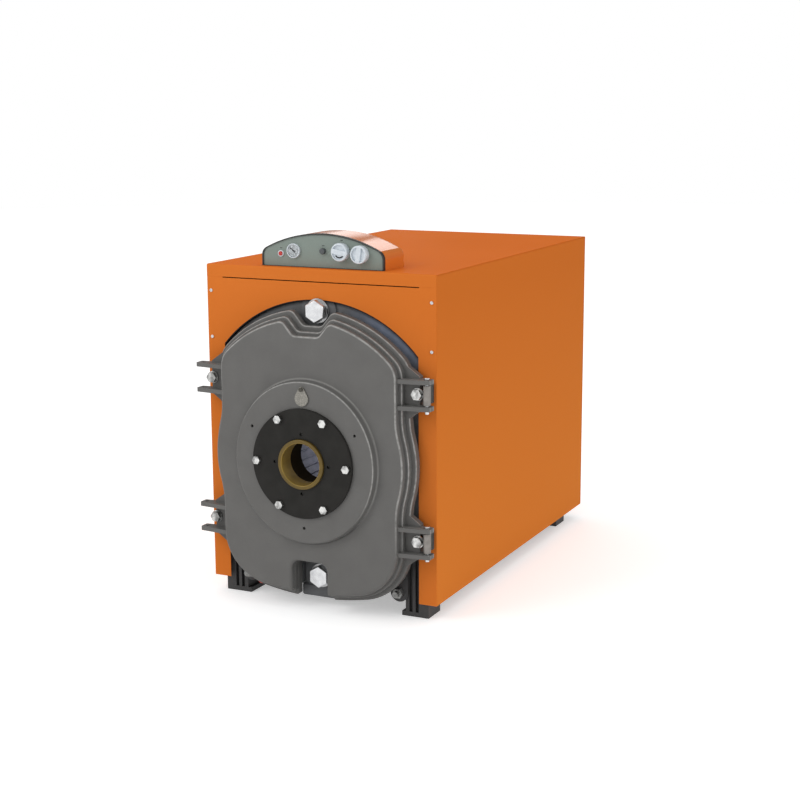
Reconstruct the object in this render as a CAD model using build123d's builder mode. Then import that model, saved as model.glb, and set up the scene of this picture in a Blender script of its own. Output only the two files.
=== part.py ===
"""Floor-standing cast-iron sectional boiler with a hinged burner door and a sheet-steel casing."""
import os
from math import sqrt

from build123d import *

os.makedirs("parts", exist_ok=True)

# Casing of painted sheet steel, in millimetres
casing_width = 640
casing_bottom = 40
roof_gap = 75
sheet = 1.5
fold_radius = 4
panel_flange = 25
panel_border = 48
lip_height = 31
joint_slot = 2.5
joint_slot_margin = 46
opening_radius = 358
arch_gap = 39

# Cast-iron block of sections
section_pitch = 125
section_joint = 4
middle_section_count = 6
block_setback = 8
block_side_gap = 35
rear_space = 72
section_crown_radius = 365
section_belly_radius = 360
section_corner = 50
section_edge_round = 8
chamber_radius = 165
chamber_back = 30
flue_width = 300
flue_bridge = 38
flue_round = 15
hub_radius = 48
hub_gap = 0.5
port_rise = 12
port_drop = 32
port_wall = 17
port_cover = 28
port_sole = 40
turning_depth = 45
cut_over = 100

# Ribbed feet of the end sections
leg_spread = 7
leg_width = 63
leg_depth = 70
leg_setback = 14
leg_top = 230
leg_groove_width = 9
leg_groove_depth = 11
leg_plate = 27
leg_rib = 8
foot_pad_height = 12
foot_pad_spread = 5

# Tie rods that clamp the sections
rod_radius = 8
rod_clearance = 1
rod_nut_flats = 24
rod_nut_height = 13
rod_end = 12
rod_panel_gap = 9
rod_lug_radius = 24
rod_lug_depth = 32
rod_lug_length = 105
lower_rod_inset = 71
lower_rod_drop = 20
upper_rod_inset = 60
upper_rod_drop = 14

# Burner door
burner_height = 391
door_bottom = 48
door_rise = 356
door_side_gap = 27.5
door_crown_reach = 80.5
door_foot_radius = 700
door_bulge_reach = 17.5
crown_corner = 60
foot_flat = 114.5
door_blend = 220
door_back = 14
flange_depth = 20
step_depth = 18
face_depth = 18
flange_grow = 20
step_grow = 8
flange_round = 4
step_round = 4
face_round = 7
door_skin = 12
notch_half = 35
notch_drop = 54
notch_slope = 0.83
notch_round = 18
shoulder_round = 20
foot_notch_half = 50
foot_notch_rise = 52
foot_notch_round = 20
foot_notch_mouth = 6

# Sealing rim of the front section, and the rope and the slab in the door
rim_front = 6
rim_outer = -2
rim_inner = -24
rope_outer = -7
rope_inner = -19
rope_groove = 6
rope_gap = 0.4
slab_gap = 0.3
slab_plug = -34
slab_reach = 8

# Round boss and burner plate
boss_half_width = 196
boss_half_height = 208
boss_height = 20
boss_draft = 12
boss_round = 5
boss_hole_edge = 31
boss_hole_radius = 4
boss_hole_depth = 14
plate_radius = 138.5
plate_thickness = 8
plate_chamfer = 1.5
plate_bolt_edge = 13.5
plate_bolt_radius = 6
plate_bolt_flats = 19
plate_bolt_head = 9
plate_bolt_depth = 16
plate_bolt_count = 6
burner_hole_edge = 12
burner_hole_radius = 4.25
sleeve_outer = 63
sleeve_inner = 53
sleeve_proud = 7
sleeve_round = 2.5
sleeve_gap = 0.5
tunnel_edge = 7

# Sight hole and its swinging cover
sight_edge = 45
sight_radius = 9
cover_radius = 18.5
cover_thickness = 3
cover_gap = 0.5
cover_pin_rise = 23
cover_pin_radius = 3
cover_pin_head = 5.4
cover_tab_radius = 7

# Lugs, door bolts and hinges
bolt_to_pin = 26
bolt_spread = 183
bolt_middle = 4
bolt_radius = 8
bolt_clearance = 0.5
bolt_flats = 24
bolt_head = 10
washer_radius = 15.5
washer_thickness = 3
lug_edge = 4
lug_half = 42
lug_slope = 26
lug_lap = 10
lug_bury = 19.5
ear_offset = 32.5
ear_thickness = 10.5
ear_end = 13
ear_half = 14
ear_bury = 12.5
ear_face_inset = 6
ear_back_inset = 3
ear_round = 4
hinge_edge = 7
hinge_depth = 40
pin_radius = 5
pin_clearance = 0.1
pin_tail = 8
pin_seat = 1
pin_head_radius = 6.5
pin_head_height = 4
knuckle_radius = 9
knuckle_length = 48
bracket_edge = 1
latch_edge = 12
bracket_height = 48
bracket_thickness = 8
bracket_gap = 1
web_thickness = 8
web_offset = 4
pad_gap = 4
pad_width = 32
pad_margin = 11

# Plugs of the front ports
plug_flats = 50
plug_head = 18
plug_chamfer = 2
plug_collar_radius = 31
plug_collar = 3
plug_panel_gap = 1.5
plug_neck_radius = 24
plug_thread_radius = 22
plug_thread = 20
plug_runout = 2

# Rear connections
hood_width = 380
hood_drop = 93
hood_rise = 9
hood_corner = 30
hood_edge_round = 8
hood_wall = 6
collar_radius = 94
collar_wall = 3.5
collar_reach = 80
pipe_radius = 36
pipe_thread_radius = 28.4
pipe_thread = 40
pipe_bore = 25
pipe_reach = 60
pipe_flange_radius = 46
pipe_flange = 14
rear_hole_gap = 3

# Rails that carry the casing and mats that line it
rail_thickness = 3
rail_height = 30
rail_ends = 14
mat_thickness = 15
mat_margin = 32
mat_lift = 45

# Control panel
panel_half = 170
panel_side = 40
panel_rise = 45
panel_corner = 22
panel_front = 26
hood_back = 150
hood_shell = 2
hood_round = 18
trim_width = 3.5
trim_foot = 1.5
trim_depth = 9
trim_proud = 3
fascia_thickness = 4
gauge_x = -79.5
gauge_lift = 40
gauge_radius = 18
gauge_rim = 2
gauge_depth = 6
gauge_body_radius = 15
gauge_body_depth = 18
glass_thickness = 0.8
glass_recess = 0.4
lamp_x = -116.5
lamp_lift = 32
lamp_radius = 5.5
lamp_depth = 6
lamp_round = 2.5
ring_radius = 8
ring_depth = 2.5
reset_x = 3
reset_lift = 42
reset_radius = 7.5
reset_depth = 9
reset_round = 2
thermostat_x = 54
thermostat_lift = 42
thermostat_turn = 80
switch_x = 107
switch_lift = 38
switch_turn = -8
knob_radius = 22.5
knob_depth = 17
knob_gap = 0.8
knob_edge = 4
knob_bar = 12
knob_scoop = 5
spindle_radius = 3
spindle_clearance = 1
spindle_length = 22

# Drain cap beside the lower port
drain_inset = 111
drain_drop = 28
drain_radius = 13
drain_depth = 40
drain_neck = 50
drain_stub = 2
drain_cap_radius = 16
drain_cap_length = 14
drain_chamfer = 2

# Widths that follow from the casing
opening_width = casing_width - 2 * panel_border
section_width = casing_width - 2 * block_side_gap
door_half = opening_width / 2 - door_side_gap
door_bulge = door_half + door_bulge_reach
door_crown_radius = door_half + door_crown_reach
foot_corner = door_half - foot_flat
door_top = burner_height + door_rise
hinge_x = casing_width / 2 - hinge_edge
bolt_x = hinge_x - bolt_to_pin
lug_reach = bolt_x + lug_edge
ear_tip = hinge_x + ear_end
bracket_outer = hinge_x + bracket_edge
latch_outer = bolt_x + latch_edge
pad_outer = opening_width / 2 - pad_gap
pad_inner = pad_outer - pad_width
bracket_inner = pad_inner + pad_margin
leg_outer = section_width / 2 + leg_spread
leg_inner = leg_outer - leg_width

# Heights that follow from the door
top_port_height = door_top + port_rise
bottom_port_height = door_bottom + port_drop
ports = (bottom_port_height, top_port_height)
section_top = top_port_height + port_cover
section_bottom = bottom_port_height - port_sole
casing_top = section_top + roof_gap
casing_height = casing_top - casing_bottom
opening_top = door_top + arch_gap
notch_floor = top_port_height - notch_drop
foot_notch_top = bottom_port_height + foot_notch_rise
flue_floor = burner_height + chamber_radius + flue_bridge
flue_roof = top_port_height - hub_radius - port_wall
hood_bottom = flue_floor - hood_drop
hood_top = flue_roof + hood_rise
collar_height = (hood_bottom + hood_top) / 2
sight_height = burner_height + boss_half_height - sight_edge
cover_pin_height = sight_height + cover_pin_rise
bolt_heights = (
    burner_height + bolt_middle - bolt_spread,
    burner_height + bolt_middle + bolt_spread,
)
lower_rod = (section_width / 2 - lower_rod_inset, bottom_port_height - lower_rod_drop)
upper_rod = (section_width / 2 - upper_rod_inset, top_port_height - upper_rod_drop)
drain_at = (drain_inset - section_width / 2, bottom_port_height - drain_drop)
gauge_at = (gauge_x, casing_top + gauge_lift)
lamp_at = (lamp_x, casing_top + lamp_lift)
reset_at = (reset_x, casing_top + reset_lift)
thermostat_at = (thermostat_x, casing_top + thermostat_lift)
switch_at = (switch_x, casing_top + switch_lift)

# Depths, with the footprint centred on the origin and the door toward -Y
flange_front = door_back + flange_depth
step_front = flange_front + step_depth
door_face = step_front + face_depth
block_depth = (middle_section_count + 2) * section_pitch
casing_depth = block_setback + block_depth + rear_space
front_reach = door_face + boss_height + plate_thickness + plate_bolt_head
front = (front_reach - casing_depth - collar_reach) / 2
back = front + casing_depth
block_front = front + block_setback
block_back = block_front + block_depth
hub_front = front + sheet + hub_gap
plug_neck = hub_gap + sheet + plug_panel_gap
upper_lug_y = front + rod_nut_height + rod_end + rod_panel_gap
boss_front = front - door_face - boss_height
plate_front = boss_front - plate_thickness
hinge_y = front - hinge_depth
fascia_front = front + panel_front


def facing(y):
    """Front-view plane at depth y, with sketch Y as height and its normal toward the front."""
    return Plane.XZ.offset(-y)


def barrel(half, top, crown_radius, bottom, foot_radius):
    """Face with straight sides, an arched top and an arched bottom."""
    shoulder = top - crown_radius + sqrt(crown_radius**2 - half**2)
    ankle = bottom + foot_radius - sqrt(foot_radius**2 - half**2)
    with BuildSketch() as face:
        with BuildLine():
            Line((-half, ankle), (-half, shoulder))
            ThreePointArc((-half, shoulder), (0, top), (half, shoulder))
            Line((half, shoulder), (half, ankle))
            ThreePointArc((half, ankle), (0, bottom), (-half, ankle))
        make_face()
    return face.sketch


def top_notch(grow):
    """Notch in the door's crown that leaves the upper port free."""
    floor = notch_floor + grow
    roof = door_top + cut_over
    lean = grow * sqrt(1 + notch_slope**2)
    low = notch_half + (floor - notch_floor) * notch_slope - lean
    high = notch_half + (roof - notch_floor) * notch_slope - lean
    with BuildSketch() as face:
        Polygon((-low, floor), (low, floor), (high, roof), (-high, roof), align=None)
        fillet(face.vertices().group_by(Axis.Y)[0], notch_round)
    return face.sketch


def foot_notch(grow):
    """Notch in the door's lower edge that leaves the lower port free, with walls that run straight back."""
    spread = min(grow, 0)
    top = foot_notch_top - spread
    with BuildSketch() as face:
        with Locations((0, top)):
            Rectangle(
                2 * (foot_notch_half - spread),
                top - door_bottom + cut_over,
                align=(Align.CENTER, Align.MAX),
            )
        fillet(face.vertices().group_by(Axis.Y)[-1], foot_notch_round)
    return face.sketch


def door_outline(grow):
    """Outline of the door casting, grown outwards by the given amount."""
    with BuildSketch() as face:
        add(
            barrel(
                door_half + grow,
                door_top + grow,
                door_crown_radius + grow,
                door_bottom - grow,
                door_foot_radius + grow,
            )
        )
        with Locations(Location((0, burner_height, 0), (0, 0, 90))):
            Circle(door_bulge + grow)
        rows = face.vertices().group_by(Axis.Y)
        fillet(rows[1] + rows[2], door_blend)
        fillet(face.vertices().group_by(Axis.Y)[-1], crown_corner)
        fillet(face.vertices().group_by(Axis.Y)[0], foot_corner + grow)
        add(top_notch(grow), mode=Mode.SUBTRACT)
        add(foot_notch(grow), mode=Mode.SUBTRACT)
        fillet(face.vertices().group_by(Axis.Y)[-1], shoulder_round)
        fillet(face.vertices().group_by(Axis.Y)[0], foot_notch_mouth)
    return face.sketch


def section_outline():
    """Outline of a cast-iron section."""
    with BuildSketch() as face:
        add(
            barrel(
                section_width / 2,
                section_top,
                section_crown_radius,
                section_bottom,
                section_belly_radius,
            )
        )
        fillet(face.vertices(), section_corner)
    return face.sketch


def section_body(face_y, depth):
    """Plain body of a section with rounded outer edges, from its front face backwards."""
    with BuildSketch(facing(face_y + depth)) as outline:
        add(section_outline())
    body = extrude(outline.sketch, amount=depth)
    end_faces = body.faces().sort_by(Axis.Y)
    fillet(end_faces[0].edges() + end_faces[-1].edges(), section_edge_round)


def port_hubs(back_y, reach):
    """Hubs round the upper and the lower port."""
    with BuildSketch(facing(back_y)) as hubs:
        with Locations(*[(0, z) for z in ports]):
            Circle(hub_radius)
    extrude(hubs.sketch, amount=reach)


def flue_slot():
    """Flue way above the combustion chamber."""
    with BuildSketch() as face:
        with Locations((0, (flue_floor + flue_roof) / 2)):
            RectangleRounded(flue_width, flue_roof - flue_floor, flue_round)
    return face.sketch


def end_section_fittings(lower_y, upper_y, leg_y, groove_y):
    """Tie-rod lugs and ribbed feet that the front and the rear section carry."""
    for side in (-1, 1):
        for (x, z), lug_y, toward in ((lower_rod, lower_y, 1), (upper_rod, upper_y, -1)):
            with BuildSketch(facing(lug_y + rod_lug_depth)) as lug:
                with Locations((side * x, z)):
                    Circle(rod_lug_radius)
                with Locations((side * x, z + toward * rod_lug_length / 2)):
                    Rectangle(2 * rod_lug_radius, rod_lug_length)
            extrude(lug.sketch, amount=rod_lug_depth)
            with BuildSketch(facing(lug_y + rod_lug_depth)) as hole:
                with Locations((side * x, z)):
                    Circle(rod_radius + rod_clearance)
            extrude(hole.sketch, amount=rod_lug_depth, mode=Mode.SUBTRACT)
        leg_middle = side * (leg_inner + leg_outer) / 2
        first_groove = leg_outer - leg_plate - leg_groove_width / 2
        second_groove = first_groove - leg_groove_width - leg_rib
        with BuildSketch(Plane.XY) as leg:
            with Locations((leg_middle, leg_y + leg_depth / 2)):
                Rectangle(leg_width, leg_depth)
            with Locations((side * first_groove, groove_y), (side * second_groove, groove_y)):
                Rectangle(leg_groove_width, 2 * leg_groove_depth, mode=Mode.SUBTRACT)
        extrude(leg.sketch, amount=leg_top)
        with BuildSketch(Plane.XY) as pad:
            with Locations((leg_middle - side * foot_pad_spread, leg_y + leg_depth / 2)):
                Rectangle(leg_width + 2 * foot_pad_spread, leg_depth)
        extrude(pad.sketch, amount=foot_pad_height)


def panel_profile(inset, foot):
    """Arched outline of the control panel, drawn in at the arch and the sides, and raised at the foot."""
    half = panel_half - inset
    side = casing_top + panel_side
    crown = casing_top + panel_side + panel_rise - inset
    floor = casing_top + foot
    with BuildSketch() as face:
        with BuildLine():
            Line((-half, floor), (-half, side))
            ThreePointArc((-half, side), (0, crown), (half, side))
            Line((half, side), (half, floor))
            Line((half, floor), (-half, floor))
        make_face()
        fillet(face.vertices().group_by(Axis.Y)[-1], panel_corner)
    return face.sketch


def knob(at, turn):
    """Round control knob with a raised grip bar, on a spindle through the fascia."""
    knob_front = fascia_front - knob_gap - knob_depth
    with BuildSketch(facing(fascia_front - knob_gap)) as disc:
        with Locations(at):
            Circle(knob_radius)
    body = extrude(disc.sketch, amount=knob_depth)
    fillet(body.faces().sort_by(Axis.Y)[0].edges(), knob_edge)
    with BuildSketch(facing(knob_front)) as scoops:
        with Locations(Location((at[0], at[1], 0), (0, 0, turn))):
            Circle(knob_radius - knob_edge)
            Rectangle(knob_bar, 3 * knob_radius, mode=Mode.SUBTRACT)
    extrude(scoops.sketch, amount=-knob_scoop, mode=Mode.SUBTRACT)
    with BuildSketch(facing(fascia_front - knob_gap + spindle_length)) as spindle:
        with Locations(at):
            Circle(spindle_radius)
    extrude(spindle.sketch, amount=spindle_length)


# Front section with its sealing rim, turning space, bracket pads and feet
with BuildPart() as front_section:
    section_body(block_front, section_pitch - section_joint)
    port_hubs(block_front + section_pitch, block_front + section_pitch - hub_front)
    end_section_fittings(block_front, upper_lug_y, front + leg_setback, front + leg_setback)
    with BuildSketch(facing(block_front + section_edge_round)):
        add(door_outline(rim_outer))
    extrude(amount=block_setback + rim_front + section_edge_round)
    with BuildSketch(facing(block_front + section_edge_round)):
        for z in bolt_heights:
            for side in (-1, 1):
                with Locations((side * (pad_inner + pad_outer) / 2, z)):
                    Rectangle(pad_width, bracket_height)
    extrude(amount=block_setback + bracket_gap + section_edge_round)
    with BuildSketch(facing(front + turning_depth)):
        add(door_outline(rim_inner))
    extrude(amount=turning_depth + rim_front, mode=Mode.SUBTRACT)
    with BuildSketch(facing(block_front + section_pitch)):
        with Locations((0, burner_height)):
            Circle(chamber_radius)
        add(flue_slot())
    extrude(amount=section_pitch, mode=Mode.SUBTRACT)
    with BuildSketch(facing(hub_front)):
        with Locations(*[(0, z) for z in ports]):
            Circle(plug_thread_radius + pin_clearance)
    extrude(amount=-plug_thread - plug_runout, mode=Mode.SUBTRACT)
    with BuildSketch(facing(block_front + drain_depth)):
        with Locations(drain_at):
            Circle(drain_radius)
            Rectangle(2 * drain_radius, drain_neck, align=(Align.CENTER, Align.MIN))
    extrude(amount=drain_depth)
    with BuildSketch(facing(block_front)):
        with Locations(drain_at):
            Circle(drain_radius)
    extrude(amount=drain_stub)
front_section.part.label = "front_section"
export_step(front_section.part, "parts/front_section.step")

# Middle sections, all from one pattern
with BuildPart() as middle_section:
    middle_front = block_front + section_pitch
    section_body(middle_front, section_pitch - section_joint)
    port_hubs(middle_front + section_pitch, section_pitch)
    with BuildSketch(facing(middle_front + section_pitch)):
        with Locations((0, burner_height)):
            Circle(chamber_radius)
        add(flue_slot())
    extrude(amount=section_pitch, mode=Mode.SUBTRACT)
for place in range(middle_section_count):
    section_name = f"middle_section_{place + 1}"
    section_copy = middle_section.part.moved(Location((0, place * section_pitch, 0)))
    section_copy.label = section_name
    export_step(section_copy, f"parts/{section_name}.step")

# Rear section, closed behind the chamber and open to the smoke hood
with BuildPart() as rear_section:
    section_body(block_back - section_pitch, section_pitch)
    port_hubs(block_back, section_pitch)
    rear_lug_y = block_back - rod_lug_depth
    end_section_fittings(rear_lug_y, rear_lug_y, block_back - leg_depth, block_back)
    with BuildSketch(facing(block_back - chamber_back)):
        with Locations((0, burner_height)):
            Circle(chamber_radius)
    extrude(amount=section_pitch, mode=Mode.SUBTRACT)
    with BuildSketch(facing(block_back)):
        add(flue_slot())
    extrude(amount=section_pitch, mode=Mode.SUBTRACT)
rear_section.part.label = "rear_section"
export_step(rear_section.part, "parts/rear_section.step")

# Tie rods with their nuts
with BuildPart() as tie_rods:
    for (x, z), seat in ((lower_rod, block_front), (upper_rod, upper_lug_y)):
        places = [(-x, z), (x, z)]
        with BuildSketch(facing(block_back + rod_nut_height + rod_end)):
            with Locations(*places):
                Circle(rod_radius)
        extrude(amount=block_back - seat + 2 * (rod_nut_height + rod_end))
        for nut_y in (seat, block_back + rod_nut_height):
            with BuildSketch(facing(nut_y)):
                with Locations(*places):
                    RegularPolygon(rod_nut_flats / 2, 6, major_radius=False)
            extrude(amount=rod_nut_height)
tie_rods.part.label = "tie_rods"
export_step(tie_rods.part, "parts/tie_rods.step")

# Plugs of the upper and the lower front port
for port_name, port_z in (("bottom_plug", bottom_port_height), ("top_plug", top_port_height)):
    with BuildPart() as plug:
        with BuildSketch(facing(hub_front)):
            with Locations((0, port_z)):
                Circle(plug_neck_radius)
        extrude(amount=plug_neck)
        with BuildSketch(facing(hub_front - plug_neck)):
            with Locations((0, port_z)):
                Circle(plug_collar_radius)
        extrude(amount=plug_collar)
        with BuildSketch(facing(hub_front - plug_neck - plug_collar)):
            with Locations((0, port_z)):
                RegularPolygon(plug_flats / 2, 6, major_radius=False, rotation=30)
        extrude(amount=plug_head)
        chamfer(plug.faces().sort_by(Axis.Y)[0].edges(), plug_chamfer)
        with BuildSketch(facing(hub_front + plug_thread)):
            with Locations((0, port_z)):
                Circle(plug_thread_radius)
        extrude(amount=plug_thread)
    plug.part.label = port_name
    export_step(plug.part, f"parts/{port_name}.step")

# Drain cap screwed on the stub beside the lower port
with BuildPart() as drain_cap:
    with BuildSketch(facing(block_front - drain_stub)):
        with Locations(drain_at):
            Circle(drain_cap_radius)
    extrude(amount=drain_cap_length)
    chamfer(drain_cap.faces().sort_by(Axis.Y)[0].edges(), drain_chamfer)
drain_cap.part.label = "drain_cap"
export_step(drain_cap.part, "parts/drain_cap.step")

# Smoke hood with its round flue collar
with BuildPart() as smoke_hood:
    hood_tall = hood_top - hood_bottom
    hood_deep = rear_space - 2 * sheet - rear_hole_gap - rod_nut_height
    hood_face = block_back + hood_deep
    collar_length = back + collar_reach - hood_face + hood_wall
    with BuildSketch(facing(hood_face)):
        with Locations((0, collar_height)):
            RectangleRounded(hood_width, hood_tall, hood_corner)
    extrude(amount=hood_deep)
    fillet(smoke_hood.faces().sort_by(Axis.Y)[-1].edges(), hood_edge_round)
    with BuildSketch(facing(hood_face - hood_wall)):
        with Locations((0, collar_height)):
            RectangleRounded(hood_width - 2 * hood_wall, hood_tall - 2 * hood_wall, hood_corner - hood_wall)
    extrude(amount=hood_deep, mode=Mode.SUBTRACT)
    with BuildSketch(facing(back + collar_reach)):
        with Locations((0, collar_height)):
            Circle(collar_radius)
    extrude(amount=collar_length)
    with BuildSketch(facing(back + collar_reach)):
        with Locations((0, collar_height)):
            Circle(collar_radius - collar_wall)
    extrude(amount=collar_length, mode=Mode.SUBTRACT)
smoke_hood.part.label = "smoke_hood"
export_step(smoke_hood.part, "parts/smoke_hood.step")

# Flow and return connections on the rear ports
for pipe_name, pipe_z in (("return_connection", bottom_port_height), ("flow_connection", top_port_height)):
    with BuildPart() as connection:
        pipe_end = back + pipe_reach
        with BuildSketch(facing(block_back + pipe_flange)):
            with Locations((0, pipe_z)):
                Circle(pipe_flange_radius)
        extrude(amount=pipe_flange)
        with BuildSketch(facing(pipe_end)):
            with Locations((0, pipe_z)):
                Circle(pipe_radius)
        extrude(amount=pipe_end - block_back)
        with BuildSketch(facing(pipe_end)):
            with Locations((0, pipe_z)):
                Circle(pipe_bore)
        extrude(amount=pipe_end - block_back, mode=Mode.SUBTRACT)
        with BuildSketch(facing(pipe_end)):
            with Locations((0, pipe_z)):
                Circle(pipe_thread_radius)
        extrude(amount=pipe_thread, mode=Mode.SUBTRACT)
    connection.part.label = pipe_name
    export_step(connection.part, f"parts/{pipe_name}.step")

# Front panel with the arched opening and the slot under the top cover
with BuildPart() as front_panel:
    panel_top = casing_top - lip_height
    arch_centre = opening_top - opening_radius
    arch_bottom = arch_centre - opening_radius
    with BuildSketch(facing(front + sheet)):
        with Locations((0, casing_bottom)):
            Rectangle(casing_width, panel_top - casing_bottom, align=(Align.CENTER, Align.MIN))
        with Locations((0, panel_top)):
            Rectangle(casing_width - 2 * joint_slot_margin, 2 * joint_slot, mode=Mode.SUBTRACT)
        opening = barrel(opening_width / 2, opening_top, opening_radius, arch_bottom, opening_radius)
        add(opening, mode=Mode.SUBTRACT)
        with Locations((0, arch_centre)):
            Rectangle(
                opening_width,
                arch_centre,
                align=(Align.CENTER, Align.MAX),
                mode=Mode.SUBTRACT,
            )
    extrude(amount=sheet)
front_panel.part.label = "front_panel"
export_step(front_panel.part, "parts/front_panel.step")

# Side panels, trays with their front, rear and top edges folded in
for side, panel_name in ((-1, "left_side_panel"), (1, "right_side_panel")):
    with BuildPart() as side_panel:
        with BuildSketch(Plane.XY.offset(casing_bottom)):
            with Locations((side * (casing_width - panel_flange) / 2, (front + back) / 2)):
                Rectangle(panel_flange, casing_depth - 2 * sheet)
        extrude(amount=casing_height - sheet)
        across = side_panel.faces().sort_by(Axis.X)
        outer_face = across[-1] if side > 0 else across[0]
        top_face = side_panel.faces().sort_by(Axis.Z)[-1]
        end_edges = top_face.edges().filter_by(Axis.X)
        fillet(outer_face.edges().sort_by(Axis.Z)[1:] + end_edges, fold_radius)
        across = side_panel.faces().sort_by(Axis.X)
        inner_face = across[0] if side > 0 else across[-1]
        bottom_face = side_panel.faces().sort_by(Axis.Z)[0]
        offset(amount=-sheet, openings=[inner_face, bottom_face])
    side_panel.part.label = panel_name
    export_step(side_panel.part, f"parts/{panel_name}.step")

# Top cover, folded down to a lip at the front and the back
with BuildPart() as top_cover:
    with BuildSketch(Plane.YZ.offset(-casing_width / 2)) as cover_profile:
        with Locations(((front + back) / 2, casing_top)):
            Rectangle(casing_depth, lip_height, align=(Align.CENTER, Align.MAX))
        fillet(cover_profile.vertices().group_by(Axis.Y)[-1], fold_radius)
        with BuildSketch(Plane.YZ.offset(-casing_width / 2), mode=Mode.SUBTRACT) as cover_inside:
            with Locations(((front + back) / 2, casing_top - sheet)):
                Rectangle(casing_depth - 2 * sheet, lip_height, align=(Align.CENTER, Align.MAX))
            fillet(cover_inside.vertices().group_by(Axis.Y)[-1], fold_radius - sheet)
    extrude(amount=casing_width)
top_cover.part.label = "top_cover"
export_step(top_cover.part, "parts/top_cover.step")

# Rear panel with holes for the flue collar and the two connections
with BuildPart() as rear_panel:
    with BuildSketch(facing(back)):
        with Locations((0, casing_bottom)):
            Rectangle(casing_width, casing_height - lip_height, align=(Align.CENTER, Align.MIN))
        with Locations((0, collar_height)):
            Circle(collar_radius + rear_hole_gap, mode=Mode.SUBTRACT)
        with Locations(*[(0, z) for z in ports]):
            Circle(pipe_radius + rear_hole_gap, mode=Mode.SUBTRACT)
    extrude(amount=sheet)
rear_panel.part.label = "rear_panel"
export_step(rear_panel.part, "parts/rear_panel.step")

# Rails between the feet and the side panels
with BuildPart() as casing_rails:
    rail_outer = casing_width / 2 - sheet
    rail_front = front + rail_ends
    rail_length = block_back - rail_front
    for side in (-1, 1):
        with BuildSketch(Plane.XY.offset(casing_bottom)):
            with Locations((side * (leg_outer + rail_outer) / 2, rail_front + rail_length / 2)):
                Rectangle(rail_outer - leg_outer, rail_length)
        extrude(amount=rail_thickness)
        with BuildSketch(Plane.XY.offset(casing_bottom)):
            with Locations((side * (rail_outer - rail_thickness / 2), rail_front + rail_length / 2)):
                Rectangle(rail_thickness, rail_length)
        extrude(amount=rail_height)
casing_rails.part.label = "casing_rails"
export_step(casing_rails.part, "parts/casing_rails.step")

# Insulating mats inside the side panels and under the top cover
with BuildPart() as insulation_mats:
    mat_length = casing_depth - 2 * mat_margin
    mat_tall = casing_height - 2 * mat_lift
    for side in (-1, 1):
        with BuildSketch(Plane.XY.offset(casing_bottom + mat_lift)):
            with Locations((side * (casing_width / 2 - sheet - mat_thickness / 2), (front + back) / 2)):
                Rectangle(mat_thickness, mat_length)
        extrude(amount=mat_tall)
    with BuildSketch(Plane.XY.offset(casing_top - sheet - mat_thickness)):
        with Locations((0, (front + back) / 2)):
            Rectangle(casing_width - 2 * mat_lift, mat_length)
    extrude(amount=mat_thickness)
insulation_mats.part.label = "insulation_mats"
export_step(insulation_mats.part, "parts/insulation_mats.step")

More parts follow.
